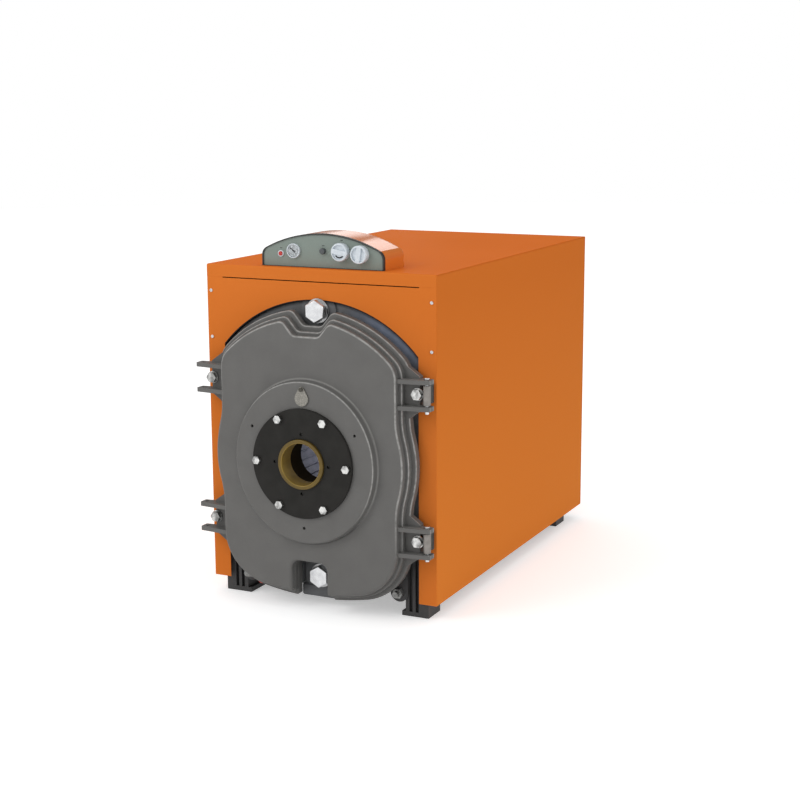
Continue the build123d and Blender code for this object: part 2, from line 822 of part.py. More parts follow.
# Door casting in three steps, with a boss, bolt lugs and paired ears
with BuildPart() as burner_door:
    lug_shoulder = door_half + flange_grow - lug_lap
    lug_root = door_half - lug_bury
    with BuildSketch(facing(front - door_back)):
        add(door_outline(flange_grow))
    extrude(amount=flange_depth)
    fillet(burner_door.faces().sort_by(Axis.Y)[0].edges(), flange_round)
    with BuildSketch(facing(front - door_back)):
        for z in bolt_heights:
            for side in (-1, 1):
                Polygon(
                    (side * lug_root, z - lug_half - lug_slope),
                    (side * lug_shoulder, z - lug_half - lug_slope),
                    (side * lug_reach, z - lug_half),
                    (side * lug_reach, z + lug_half),
                    (side * lug_shoulder, z + lug_half + lug_slope),
                    (side * lug_root, z + lug_half + lug_slope),
                    align=None,
                )
    extrude(amount=flange_depth)
    with BuildSketch(facing(front - flange_front)):
        add(door_outline(step_grow))
    extrude(amount=step_depth)
    fillet(burner_door.faces().sort_by(Axis.Y)[0].edges(), step_round)
    with BuildSketch(facing(front - step_front)):
        add(door_outline(0))
    extrude(amount=face_depth)
    fillet(burner_door.faces().sort_by(Axis.Y)[0].edges(), face_round)
    with BuildSketch(facing(front - door_face)):
        with Locations((0, burner_height)):
            Ellipse(boss_half_width, boss_half_height)
    extrude(amount=boss_height, taper=boss_draft)
    fillet(burner_door.faces().sort_by(Axis.Y)[0].edges(), boss_round)
    ear_root = door_half - ear_bury
    for z in bolt_heights:
        for ear_z in (z - ear_offset, z + ear_offset):
            with BuildSketch(Plane.XY.offset(ear_z - ear_thickness / 2)) as ears:
                for side in (-1, 1):
                    Polygon(
                        (side * ear_root, front - door_face + ear_face_inset),
                        (side * ear_tip, hinge_y - ear_half),
                        (side * ear_tip, hinge_y + ear_half),
                        (side * ear_root, front - door_back - ear_back_inset),
                        align=None,
                    )
                columns = ears.vertices().group_by(Axis.X)
                fillet(columns[0] + columns[-1], ear_round)
                with Locations((-hinge_x, hinge_y), (hinge_x, hinge_y)):
                    Circle(pin_radius + pin_clearance, mode=Mode.SUBTRACT)
            extrude(amount=ear_thickness)
    with BuildSketch(facing(front - door_back)):
        add(door_outline(rim_inner))
    extrude(amount=door_face - door_back - door_skin, mode=Mode.SUBTRACT)
    with BuildSketch(facing(front - door_back)):
        add(door_outline(rope_outer))
        add(door_outline(rope_inner), mode=Mode.SUBTRACT)
    extrude(amount=rope_groove, mode=Mode.SUBTRACT)
    with BuildSketch(facing(front - door_back)):
        with Locations((0, burner_height)):
            Circle(sleeve_outer + sleeve_gap)
        with Locations((0, sight_height)):
            Circle(sight_radius)
        slot_half = bolt_radius + bolt_clearance
        with Locations(*[(side * bolt_x, z) for z in bolt_heights for side in (-1, 1)]):
            Circle(slot_half)
        with Locations(*[(side * (bolt_x + slot_half / 2), z) for z in bolt_heights for side in (-1, 1)]):
            Rectangle(slot_half, 2 * slot_half)
    extrude(amount=door_face + boss_height, mode=Mode.SUBTRACT)
    with BuildSketch(facing(boss_front)):
        with Locations((0, burner_height)):
            with PolarLocations(plate_radius - plate_bolt_edge, plate_bolt_count):
                Circle(plate_bolt_radius + pin_clearance)
            with PolarLocations(boss_half_width - boss_hole_edge, 3, start_angle=30):
                Circle(boss_hole_radius)
        with Locations((0, cover_pin_height)):
            Circle(cover_pin_radius + pin_clearance)
    extrude(amount=-boss_hole_depth, mode=Mode.SUBTRACT)
burner_door.part.label = "burner_door"
export_step(burner_door.part, "parts/burner_door.step")

# Refractory slab inside the door, with the burner tunnel and the sight hole
with BuildPart() as door_refractory:
    with BuildSketch(facing(front - door_back)):
        add(door_outline(rim_inner - slab_gap))
    extrude(amount=door_face - door_back - door_skin - slab_gap)
    with BuildSketch(facing(front + slab_reach)):
        add(door_outline(slab_plug))
    extrude(amount=slab_reach + door_back)
    with BuildSketch(facing(front + slab_reach)):
        with Locations((0, burner_height)):
            Circle(sleeve_inner + tunnel_edge)
        with Locations((0, sight_height)):
            Circle(sight_radius)
    extrude(amount=slab_reach + door_face, mode=Mode.SUBTRACT)
door_refractory.part.label = "door_refractory"
export_step(door_refractory.part, "parts/door_refractory.step")

# Sealing rope in the groove of the door
with BuildPart() as door_rope:
    with BuildSketch(facing(front - rim_front - rope_gap)):
        add(door_outline(rope_outer))
        add(door_outline(rope_inner), mode=Mode.SUBTRACT)
    extrude(amount=door_back + rope_groove - rim_front - rope_gap)
door_rope.part.label = "door_rope"
export_step(door_rope.part, "parts/door_rope.step")

# Burner plate
with BuildPart() as burner_plate:
    with BuildSketch(facing(boss_front)):
        with Locations((0, burner_height)):
            Circle(plate_radius)
    extrude(amount=plate_thickness)
    chamfer(burner_plate.faces().sort_by(Axis.Y)[0].edges(), plate_chamfer)
    with BuildSketch(facing(boss_front)):
        with Locations((0, burner_height)):
            Circle(sleeve_outer + sleeve_gap)
            with PolarLocations(plate_radius - plate_bolt_edge, plate_bolt_count):
                Circle(plate_bolt_radius + pin_clearance)
            with PolarLocations(sleeve_outer + burner_hole_edge, 4):
                Circle(burner_hole_radius)
    extrude(amount=plate_thickness, mode=Mode.SUBTRACT)
burner_plate.part.label = "burner_plate"
export_step(burner_plate.part, "parts/burner_plate.step")

# Six bolts of the burner plate
with BuildPart() as plate_bolts:
    with BuildSketch(facing(plate_front)):
        with Locations((0, burner_height)):
            with PolarLocations(plate_radius - plate_bolt_edge, plate_bolt_count):
                RegularPolygon(plate_bolt_flats / 2, 6, major_radius=False)
    extrude(amount=plate_bolt_head)
    with BuildSketch(facing(plate_front)):
        with Locations((0, burner_height)):
            with PolarLocations(plate_radius - plate_bolt_edge, plate_bolt_count):
                Circle(plate_bolt_radius)
    extrude(amount=-plate_bolt_depth)
plate_bolts.part.label = "plate_bolts"
export_step(plate_bolts.part, "parts/plate_bolts.step")

# Sleeve that lines the burner hole
with BuildPart() as burner_sleeve:
    sleeve_back = front - door_face + door_skin - slab_gap
    with BuildSketch(facing(sleeve_back)):
        with Locations((0, burner_height)):
            Circle(sleeve_outer)
            Circle(sleeve_inner, mode=Mode.SUBTRACT)
    extrude(amount=sleeve_back - plate_front + sleeve_proud)
    fillet(burner_sleeve.faces().sort_by(Axis.Y)[0].edges(), sleeve_round)
burner_sleeve.part.label = "burner_sleeve"
export_step(burner_sleeve.part, "parts/burner_sleeve.step")

# Four bolts that clamp the door
with BuildPart() as door_bolts:
    bolt_places = [(side * bolt_x, z) for z in bolt_heights for side in (-1, 1)]
    lug_front = front - flange_front
    with BuildSketch(facing(lug_front)):
        with Locations(*bolt_places):
            Circle(washer_radius)
    extrude(amount=washer_thickness)
    with BuildSketch(facing(lug_front - washer_thickness)):
        with Locations(*bolt_places):
            RegularPolygon(bolt_flats / 2, 6, major_radius=False)
    extrude(amount=bolt_head)
    with BuildSketch(facing(front - door_back)):
        with Locations(*bolt_places):
            Circle(bolt_radius)
    extrude(amount=flange_depth)
door_bolts.part.label = "door_bolts"
export_step(door_bolts.part, "parts/door_bolts.step")

# Plates and brackets that stand on the pads of the front section
bracket_back = front - bracket_gap
bracket_front = bracket_back - bracket_thickness


def bracket_plate(side, z, outer):
    """Plate from a pad outwards, with a hole behind the door bolt."""
    with BuildSketch(facing(bracket_back)) as plate:
        with Locations((side * (bracket_inner + outer) / 2, z)):
            Rectangle(outer - bracket_inner, bracket_height)
        with Locations((side * bolt_x, z)):
            Circle(bolt_radius + bolt_clearance, mode=Mode.SUBTRACT)
    extrude(plate.sketch, amount=bracket_thickness)


# Latch plates at the left
with BuildPart() as latch_plates:
    for bolt_z in bolt_heights:
        bracket_plate(-1, bolt_z, latch_outer)
latch_plates.part.label = "latch_plates"
export_step(latch_plates.part, "parts/latch_plates.step")

# Hinge brackets at the right, each with a knuckle on a web
for bolt_z, level in zip(bolt_heights, ("lower", "upper")):
    with BuildPart() as hinge_bracket:
        bracket_plate(1, bolt_z, bracket_outer)
        with BuildSketch(Plane.XY.offset(bolt_z - knuckle_length / 2)):
            with Locations((hinge_x, hinge_y)):
                Circle(knuckle_radius)
            with Locations((hinge_x - web_offset, (hinge_y + bracket_front) / 2)):
                Rectangle(web_thickness, bracket_front - hinge_y)
            with Locations((hinge_x, hinge_y)):
                Circle(pin_radius + pin_clearance, mode=Mode.SUBTRACT)
        extrude(amount=knuckle_length)
    hinge_bracket.part.label = f"{level}_hinge_bracket"
    export_step(hinge_bracket.part, f"parts/{level}_hinge_bracket.step")

# Hinge pins through the ears and the knuckles
with BuildPart() as hinge_pins:
    pin_half = ear_offset + ear_thickness / 2
    for bolt_z in bolt_heights:
        with BuildSketch(Plane.XY.offset(bolt_z - pin_half - pin_tail)):
            with Locations((hinge_x, hinge_y)):
                Circle(pin_radius)
        extrude(amount=2 * pin_half + pin_tail + pin_seat)
        with BuildSketch(Plane.XY.offset(bolt_z + pin_half + pin_seat)):
            with Locations((hinge_x, hinge_y)):
                Circle(pin_head_radius)
        extrude(amount=pin_head_height)
hinge_pins.part.label = "hinge_pins"
export_step(hinge_pins.part, "parts/hinge_pins.step")

# Cover that hangs over the sight hole, and its pin
with BuildPart() as sight_cover:
    cover_back = boss_front - cover_gap
    with BuildSketch(facing(cover_back)):
        with Locations((0, sight_height)):
            Circle(cover_radius)
        with Locations((0, cover_pin_height)):
            Circle(cover_tab_radius)
        make_hull()
        with Locations((0, cover_pin_height)):
            Circle(cover_pin_radius + pin_clearance, mode=Mode.SUBTRACT)
    extrude(amount=cover_thickness)
sight_cover.part.label = "sight_cover"
export_step(sight_cover.part, "parts/sight_cover.step")

with BuildPart() as sight_cover_pin:
    pin_stand = 2 * cover_gap + cover_thickness
    with BuildSketch(facing(boss_front + boss_hole_depth)):
        with Locations((0, cover_pin_height)):
            Circle(cover_pin_radius)
    extrude(amount=boss_hole_depth + pin_stand)
    with BuildSketch(facing(boss_front - pin_stand)):
        with Locations((0, cover_pin_height)):
            Circle(cover_pin_head)
    extrude(amount=cover_thickness)
sight_cover_pin.part.label = "sight_cover_pin"
export_step(sight_cover_pin.part, "parts/sight_cover_pin.step")

# Hood of the control panel, a shell that is open at the front
with BuildPart() as control_hood:
    hood_front = fascia_front - trim_proud + trim_depth
    with BuildSketch(facing(front + hood_back)):
        add(panel_profile(0, 0))
    extrude(amount=front + hood_back - hood_front)
    hood_rear_edges = control_hood.faces().sort_by(Axis.Y)[-1].edges()
    fillet(hood_rear_edges.sort_by(Axis.Z)[1:], hood_round)
    with BuildSketch(facing(front + hood_back - hood_round)):
        add(panel_profile(hood_shell, hood_shell))
    extrude(amount=hood_back, mode=Mode.SUBTRACT)
control_hood.part.label = "control_hood"
export_step(control_hood.part, "parts/control_hood.step")

# Dark edge trim around the fascia
with BuildPart() as fascia_trim:
    with BuildSketch(facing(hood_front)):
        add(panel_profile(0, 0))
        add(panel_profile(trim_width, trim_foot), mode=Mode.SUBTRACT)
    extrude(amount=trim_depth)
fascia_trim.part.label = "fascia_trim"
export_step(fascia_trim.part, "parts/fascia_trim.step")

# Fascia with holes for the instruments
with BuildPart() as control_fascia:
    with BuildSketch(facing(fascia_front + fascia_thickness)):
        add(panel_profile(trim_width, trim_foot))
        with Locations(gauge_at):
            Circle(gauge_body_radius, mode=Mode.SUBTRACT)
        with Locations(thermostat_at, switch_at):
            Circle(spindle_radius + spindle_clearance, mode=Mode.SUBTRACT)
    extrude(amount=fascia_thickness)
control_fascia.part.label = "control_fascia"
export_step(control_fascia.part, "parts/control_fascia.step")

# Thermometer case with a recessed dial, and its glass
with BuildPart() as thermometer_case:
    with BuildSketch(facing(fascia_front)):
        with Locations(gauge_at):
            Circle(gauge_radius)
    extrude(amount=gauge_depth)
    with BuildSketch(facing(fascia_front - gauge_depth)):
        with Locations(gauge_at):
            Circle(gauge_radius - gauge_rim)
    extrude(amount=-gauge_depth / 2, mode=Mode.SUBTRACT)
    with BuildSketch(facing(fascia_front + gauge_body_depth)):
        with Locations(gauge_at):
            Circle(gauge_body_radius - pin_clearance)
    extrude(amount=gauge_body_depth)
thermometer_case.part.label = "thermometer_case"
export_step(thermometer_case.part, "parts/thermometer_case.step")

with BuildPart() as thermometer_glass:
    with BuildSketch(facing(fascia_front - gauge_depth + glass_recess + glass_thickness)):
        with Locations(gauge_at):
            Circle(gauge_radius - gauge_rim - pin_clearance)
    extrude(amount=glass_thickness)
thermometer_glass.part.label = "thermometer_glass"
export_step(thermometer_glass.part, "parts/thermometer_glass.step")

# Pilot lamp in its ring
with BuildPart() as lamp_ring:
    with BuildSketch(facing(fascia_front)):
        with Locations(lamp_at):
            Circle(ring_radius)
            Circle(lamp_radius, mode=Mode.SUBTRACT)
    extrude(amount=ring_depth)
lamp_ring.part.label = "lamp_ring"
export_step(lamp_ring.part, "parts/lamp_ring.step")

with BuildPart() as pilot_lamp:
    with BuildSketch(facing(fascia_front)):
        with Locations(lamp_at):
            Circle(lamp_radius)
    extrude(amount=lamp_depth)
    fillet(pilot_lamp.faces().sort_by(Axis.Y)[0].edges(), lamp_round)
pilot_lamp.part.label = "pilot_lamp"
export_step(pilot_lamp.part, "parts/pilot_lamp.step")

# Cap of the safety cut-out's reset button
with BuildPart() as reset_cap:
    with BuildSketch(facing(fascia_front)):
        with Locations(reset_at):
            Circle(reset_radius)
    extrude(amount=reset_depth)
    fillet(reset_cap.faces().sort_by(Axis.Y)[0].edges(), reset_round)
reset_cap.part.label = "reset_cap"
export_step(reset_cap.part, "parts/reset_cap.step")

# Thermostat knob and switch knob
with BuildPart() as thermostat_knob:
    knob(thermostat_at, thermostat_turn)
thermostat_knob.part.label = "thermostat_knob"
export_step(thermostat_knob.part, "parts/thermostat_knob.step")

with BuildPart() as switch_knob:
    knob(switch_at, switch_turn)
switch_knob.part.label = "switch_knob"
export_step(switch_knob.part, "parts/switch_knob.step")
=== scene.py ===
"""A cast-iron sectional boiler in its orange casing, standing on a pale studio floor.

Metres, in the part's own frame: the floor is z = 0, the burner door faces -Y and its hinges are at +X.
Shades are given as a colour card lists them, from 0 to 255.
"""
import math
import bmesh
import bpy
from mathutils import Matrix, Vector


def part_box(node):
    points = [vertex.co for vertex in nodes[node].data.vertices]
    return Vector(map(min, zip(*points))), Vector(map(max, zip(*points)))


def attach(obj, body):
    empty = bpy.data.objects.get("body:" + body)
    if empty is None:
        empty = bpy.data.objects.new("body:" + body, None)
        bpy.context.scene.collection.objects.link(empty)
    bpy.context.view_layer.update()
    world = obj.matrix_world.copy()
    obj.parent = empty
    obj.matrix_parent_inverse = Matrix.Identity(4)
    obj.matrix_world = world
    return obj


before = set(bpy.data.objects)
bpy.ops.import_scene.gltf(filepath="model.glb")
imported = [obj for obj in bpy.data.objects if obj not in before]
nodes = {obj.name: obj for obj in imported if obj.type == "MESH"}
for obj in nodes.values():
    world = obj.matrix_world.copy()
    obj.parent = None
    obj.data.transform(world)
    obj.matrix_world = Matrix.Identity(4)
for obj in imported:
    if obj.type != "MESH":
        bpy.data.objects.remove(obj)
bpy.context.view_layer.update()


# Cast-iron sections
# Eight sand-cast grey-iron sections, drawn up by tie rods, in thin grey enamel that is black at the feet.
# Painted shadow makes them black round the arch, where the front panel shades them, and a painted
# reflection makes them bluish at the upper right. The bare wall of the chamber is a lighter bluish grey.
def display(red, green, blue):
    """Linear colour of a shade, without transparency."""
    def straight(level):
        share = level / 255
        return share / 12.92 if share <= 0.04045 else ((share + 0.055) / 1.055) ** 2.4
    return (straight(red), straight(green), straight(blue), 1.0)


def shader_of(finish):
    return finish.node_tree.nodes["Principled BSDF"]


def start_finish(name, roughness, metallic=0.0, specular=0.5):
    """New finish whose even values sit on the shader itself."""
    finish = bpy.data.materials.new(name)
    finish.use_nodes = True
    shader = shader_of(finish)
    shader.inputs["Roughness"].default_value = roughness
    shader.inputs["Metallic"].default_value = metallic
    shader.inputs["Specular IOR Level"].default_value = specular
    return finish


def add_node(finish, kind, **settings):
    node = finish.node_tree.nodes.new(kind)
    for setting, value in settings.items():
        setattr(node, setting, value)
    return node


def link(finish, source, socket):
    finish.node_tree.links.new(source, socket)


def place_on(finish, shift=(0, 0, 0), stretch=(1, 1, 1)):
    """Object coordinates, moved and stretched as a pattern needs them."""
    coords = add_node(finish, "ShaderNodeTexCoord")
    mapping = add_node(finish, "ShaderNodeMapping")
    mapping.inputs["Location"].default_value = shift
    mapping.inputs["Scale"].default_value = stretch
    link(finish, coords.outputs["Object"], mapping.inputs["Vector"])
    return mapping.outputs["Vector"]


def grain(finish, scale, detail=3.0, stretch=(1, 1, 1)):
    """Even random grain with about `scale` grains to the metre."""
    noise = add_node(finish, "ShaderNodeTexNoise")
    noise.inputs["Scale"].default_value = scale
    noise.inputs["Detail"].default_value = detail
    link(finish, place_on(finish, stretch=stretch), noise.inputs["Vector"])
    return noise.outputs["Fac"]


# Nearly all of a grain lies between these two values.
grain_low = 0.3
grain_high = 0.7


def between(finish, amount, first, last, low=grain_low, high=grain_high):
    """Colour that goes from the first shade to the last while the amount goes from low to high."""
    ramp = add_node(finish, "ShaderNodeValToRGB")
    ramp.color_ramp.elements[0].position = low
    ramp.color_ramp.elements[0].color = display(*first)
    ramp.color_ramp.elements[1].position = high
    ramp.color_ramp.elements[1].color = display(*last)
    link(finish, amount, ramp.inputs["Fac"])
    return ramp.outputs["Color"]


def measure(finish, operation, *terms):
    """Arithmetic on patterns: each term is a pattern or a number."""
    maths = add_node(finish, "ShaderNodeMath", operation=operation)
    for socket, term in zip(maths.inputs, terms):
        if isinstance(term, (int, float)):
            socket.default_value = term
        else:
            link(finish, term, socket)
    return maths.outputs["Value"]


def overlap(finish, first, second):
    """Pattern that is high only where both patterns are."""
    return measure(finish, "MULTIPLY", first, second)


def ramp_of(finish, amount, low, high, first=0.0, last=1.0):
    """Number that goes from first to last while the amount goes from low to high."""
    span = add_node(finish, "ShaderNodeMapRange", clamp=True)
    for socket, value in (("From Min", low), ("From Max", high), ("To Min", first), ("To Max", last)):
        span.inputs[socket].default_value = value
    link(finish, amount, span.inputs["Value"])
    return span.outputs["Result"]


def layer(finish, amount, under, over):
    """The colour `over` laid on the colour `under` by the amount; a plain shade will do for either."""
    mix = add_node(finish, "ShaderNodeMix", data_type="RGBA")
    link(finish, amount, mix.inputs["Factor"])
    # A mix node has its two colours in sockets 6 and 7, and the mixed colour in output 2.
    for socket, colour in ((mix.inputs[6], under), (mix.inputs[7], over)):
        if isinstance(colour, tuple):
            socket.default_value = display(*colour)
        else:
            link(finish, colour, socket)
    return mix.outputs[2]


def colour_with(finish, colour):
    link(finish, colour, shader_of(finish).inputs["Base Color"])


def roughen_with(finish, pattern, first, last):
    """Roughness that goes from first to last with a grain."""
    roughness = ramp_of(finish, pattern, grain_low, grain_high, first, last)
    link(finish, roughness, shader_of(finish).inputs["Roughness"])


def raise_with(finish, height, strength, distance):
    """Relief on the surface, on top of any relief it already has."""
    bump = add_node(finish, "ShaderNodeBump")
    bump.inputs["Strength"].default_value = strength
    bump.inputs["Distance"].default_value = distance
    link(finish, height, bump.inputs["Height"])
    normal = shader_of(finish).inputs["Normal"]
    if normal.is_linked:
        link(finish, normal.links[0].from_socket, bump.inputs["Normal"])
    link(finish, bump.outputs["Normal"], normal)


def axis_of(finish, axis):
    """One Object coordinate, x, y or z, in metres."""
    parts = add_node(finish, "ShaderNodeSeparateXYZ")
    link(finish, place_on(finish), parts.inputs["Vector"])
    return parts.outputs[axis]


def distance_from(finish, centre, across):
    """Distance from a line through the centre; `across` is 0 along the line and 1 across it."""
    shift = tuple(-value * share for value, share in zip(centre, across))
    length = add_node(finish, "ShaderNodeVectorMath", operation="LENGTH")
    link(finish, place_on(finish, shift, across), length.inputs[0])
    return length.outputs["Value"]


def dress(finish, *names):
    """Give CAD nodes their finish."""
    for name in names:
        nodes[name].data.materials.clear()
        nodes[name].data.materials.append(finish)


middle_count = 6
middle_numbers = range(1, middle_count + 1)
chamber_axis = (0, 0, 0.391)
chamber_radius = 0.165
chamber_blend = (0.001, 0.004)
foot_dip = 0.2
foot_side = 0.19
foot_blend = 0.03
opening_radius = 0.358
opening_centre = (0, 0, 0.428)
shaded_reach = (0.346, 0.355)
shaded_rise = (0.6, 0.66)
sheen_across = (0.07, 0.16)
sheen_rise = (0.6, 0.68)
enamel_limits = (0.35, 0.65)
enamel_shades = ((88, 89, 90), (100, 101, 103))
sheen_shades = ((106, 114, 130), (122, 130, 148))
chamber_shades = ((108, 110, 128), (132, 133, 152))
foot_black = (59, 58, 58)
painted_shadow_black = (30, 30, 31)

section_names = ["front_section"] + [f"middle_section_{i}" for i in middle_numbers] + ["rear_section"]
section_iron = start_finish("section_iron", 0.55, specular=0.4)
iron_x = axis_of(section_iron, "X")
iron_z = axis_of(section_iron, "Z")
enamel = between(section_iron, grain(section_iron, 26), *enamel_shades, *enamel_limits)
# Painted reflection: a bluish grey over the enamel at the upper right.
painted_sheen = between(section_iron, grain(section_iron, 30), *sheen_shades, *enamel_limits)
upper_right = overlap(section_iron, ramp_of(section_iron, iron_x, *sheen_across),
                      ramp_of(section_iron, iron_z, *sheen_rise))
enamel = layer(section_iron, upper_right, enamel, painted_sheen)
off_centre = measure(section_iron, "ABSOLUTE", iron_x)
at_feet = overlap(section_iron, ramp_of(section_iron, iron_z, foot_dip, foot_dip + foot_blend, 1.0, 0.0),
                  ramp_of(section_iron, off_centre, foot_side - foot_blend, foot_side))
enamel = layer(section_iron, at_feet, enamel, foot_black)
# Painted shadow: black on the sections round the arch, where the front panel shades them.
from_arch = distance_from(section_iron, opening_centre, (1, 0, 1))
painted_shadow_under_panel = overlap(section_iron, ramp_of(section_iron, from_arch, *shaded_reach),
                      ramp_of(section_iron, iron_z, *shaded_rise))
enamel = layer(section_iron, painted_shadow_under_panel, enamel, painted_shadow_black)
# The chamber wall is a lighter, bluish grey than the enamel outside.
chamber_grey = between(section_iron, grain(section_iron, 40), *chamber_shades)
from_axis = distance_from(section_iron, chamber_axis, (1, 0, 1))
outside = ramp_of(section_iron, from_axis, chamber_radius + chamber_blend[0],
                  chamber_radius + chamber_blend[1])
colour_with(section_iron, layer(section_iron, outside, chamber_grey, enamel))
sand_skin = grain(section_iron, 420)
roughen_with(section_iron, sand_skin, 0.45, 0.68)
raise_with(section_iron, sand_skin, 0.35, 0.0006)
dress(section_iron, *section_names)


# Flutes of the combustion chamber
# Low fins cast with each section along the chamber wall, to give the flame more iron to heat.
# They stop short of the joints between the sections.
double_distance = 0.000001


def take(piece):
    """Select one piece alone and make it the active one."""
    bpy.ops.object.select_all(action="DESELECT")
    piece.select_set(True)
    bpy.context.view_layer.objects.active = piece


def settle(name):
    """Name the new primitive and put its place, turn and size into its mesh."""
    piece = bpy.context.object
    piece.name = name
    piece.data.name = name
    take(piece)
    bpy.ops.object.transform_apply(location=True, rotation=True, scale=True)
    return piece


def block(name, low, high):
    """Plain block between two corners, as a start for a piece."""
    bpy.ops.object.select_all(action="DESELECT")
    middle = [(a + b) / 2 for a, b in zip(low, high)]
    size = [b - a for a, b in zip(low, high)]
    bpy.ops.mesh.primitive_cube_add(size=1, location=middle, scale=size)
    return settle(name)


def pick(piece, kind, wanted):
    """In edit mode, select the faces or the edges that are wanted, and nothing else."""
    bpy.ops.mesh.select_mode(type=kind)
    bpy.ops.mesh.select_all(action="DESELECT")
    mesh = bmesh.from_edit_mesh(piece.data)
    mesh.normal_update()
    for part in (mesh.faces if kind == "FACE" else mesh.edges):
        if wanted(part):
            part.select_set(True)
    bmesh.update_edit_mesh(piece.data)


def middle_of(edge):
    return (edge.verts[0].co + edge.verts[1].co) / 2


def runs_back(edge):
    """Whether an edge runs from front to back."""
    return abs((edge.verts[1].co - edge.verts[0].co).normalized().y) > 0.99


def close_up():
    """In edit mode, merge the doubles that a spin leaves and turn every face outward."""
    bpy.ops.mesh.select_all(action="SELECT")
    bpy.ops.mesh.remove_doubles(threshold=double_distance)
    bpy.ops.mesh.normals_make_consistent(inside=False)


def copy_to(piece, name, place=(0, 0, 0), turn=(0, 0, 0)):
    """Copy of a piece with a mesh of its own, moved and turned from where the piece is."""
    take(piece)
    bpy.ops.object.duplicate(linked=False)
    twin = bpy.context.object
    twin.location = place
    twin.rotation_euler = turn
    return settle(name)


smooth_angle = math.radians(35)


def finish_piece(piece, finish, body):
    """Give a new piece its finish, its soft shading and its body."""
    take(piece)
    bpy.ops.object.shade_smooth_by_angle(angle=smooth_angle)
    piece.data.materials.clear()
    piece.data.materials.append(finish)
    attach(piece, body)


fin_count = 48
fin_width = 0.0045
fin_height = 0.006
fin_root = 0.001
section_pitch = 0.125
first_fin = -0.5115
fin_length = 0.112
fin_round = 0.0014

fins = block("chamber_fins_1", (chamber_radius - fin_height, first_fin, chamber_axis[2] - fin_width / 2),
             (chamber_radius + fin_root, first_fin + fin_length, chamber_axis[2] + fin_width / 2))
bpy.ops.object.mode_set(mode="EDIT")
pick(fins, "EDGE", lambda edge: runs_back(edge) and middle_of(edge).x < chamber_radius - fin_height / 2)
bpy.ops.mesh.bevel(offset=fin_round, segments=2)
bpy.ops.mesh.select_all(action="SELECT")
bpy.ops.mesh.spin(steps=fin_count - 1, dupli=True, angle=2 * math.pi * (fin_count - 1) / fin_count,
                  center=chamber_axis, axis=(0, 1, 0))
close_up()
bpy.ops.object.mode_set(mode="OBJECT")
finish_piece(fins, section_iron, "boiler")
for i in middle_numbers:
    more_fins = copy_to(fins, f"chamber_fins_{i + 1}", (0, i * section_pitch, 0))
    finish_piece(more_fins, section_iron, "boiler")


# Web under the lower port
# A web of the front section, cast in one with it in grey iron.
# It stiffens the hub of the lower port and closes the view below it.
web_half = 0.056
web_foot = 0.022
web_top = 0.05
web_front = -0.5295
web_back = -0.5
web_round = 0.006
web_edge = 0.002
web_near = 0.0001

port_web = block("port_web", (-web_half, web_front, web_foot), (web_half, web_back, web_top))
bpy.ops.object.mode_set(mode="EDIT")
pick(port_web, "EDGE", lambda edge: runs_back(edge) and middle_of(edge).z < (web_foot + web_top) / 2)
bpy.ops.mesh.bevel(offset=web_round, segments=4)
pick(port_web, "EDGE", lambda edge: middle_of(edge).y < web_front + web_near)
bpy.ops.mesh.bevel(offset=web_edge, segments=2)
bpy.ops.object.mode_set(mode="OBJECT")
finish_piece(port_web, section_iron, "boiler")


# Tie rods, port plugs and drain cap
# Zinc-plated steel: four rods with nuts hold the sections together, and bright hexagon plugs on turned
# collars close the unused front ports. The drain cap beside the lower port is red moulded plastic.
weld_distance = 0.00001
flat_angle = math.radians(0.4)
edge_angle = math.radians(32)


def soften(width, *names, segments=2):
    """Rounded edges on CAD nodes, by modifiers that leave their meshes as they are."""
    for name in names:
        stack = nodes[name].modifiers
        weld = stack.new("weld", "WELD")
        weld.merge_threshold = weld_distance
        flatten = stack.new("flatten", "DECIMATE")
        flatten.decimate_type = "DISSOLVE"
        flatten.angle_limit = flat_angle
        edge = stack.new("edge", "BEVEL")
        edge.width = width
        edge.segments = segments
        edge.limit_method = "ANGLE"
        edge.angle_limit = edge_angle
        even = stack.new("even", "WEIGHTED_NORMAL")
        even.keep_sharp = False


bright_zinc = start_finish("bright_zinc", 0.3, metallic=1.0)
turning = grain(bright_zinc, 900, 2.0)
zinc_bloom = between(bright_zinc, grain(bright_zinc, 60), (203, 204, 206), (226, 227, 228), low=0.35)
colour_with(bright_zinc, zinc_bloom)
roughen_with(bright_zinc, turning, 0.22, 0.42)
raise_with(bright_zinc, turning, 0.08, 0.0002)

plug_zinc = bright_zinc.copy()
plug_zinc.name = "plug_zinc"
plug_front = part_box("top_plug")[0][1]
hexagon_height = 0.018
hexagon_back = plug_front + hexagon_height
hexagon_blend = 0.0005
collar_grey = (120, 120, 119)
behind_hexagon = ramp_of(plug_zinc, axis_of(plug_zinc, "Y"), hexagon_back - hexagon_blend,
                         hexagon_back + hexagon_blend)
plug_bloom = shader_of(plug_zinc).inputs["Base Color"].links[0].from_socket
colour_with(plug_zinc, layer(plug_zinc, behind_hexagon, plug_bloom, collar_grey))
dress(plug_zinc, "bottom_plug", "top_plug")
soften(0.0014, "bottom_plug", "top_plug", segments=3)

# The rods and nuts are a darker zinc than the plugs, as painted shade, in random patches.
rod_zinc = start_finish("rod_zinc", 0.42, metallic=0.8)
rod_mottle = grain(rod_zinc, 55)
colour_with(rod_zinc, between(rod_zinc, rod_mottle, (98, 98, 97), (158, 158, 156)))
roughen_with(rod_zinc, rod_mottle, 0.3, 0.55)
dress(rod_zinc, "tie_rods")
soften(0.0009, "tie_rods")

red_moulding = start_finish("red_moulding", 0.4)
colour_with(red_moulding, between(red_moulding, grain(red_moulding, 220), (172, 34, 30), (196, 44, 38)))
raise_with(red_moulding, grain(red_moulding, 700), 0.1, 0.0003)
dress(red_moulding, "drain_cap")


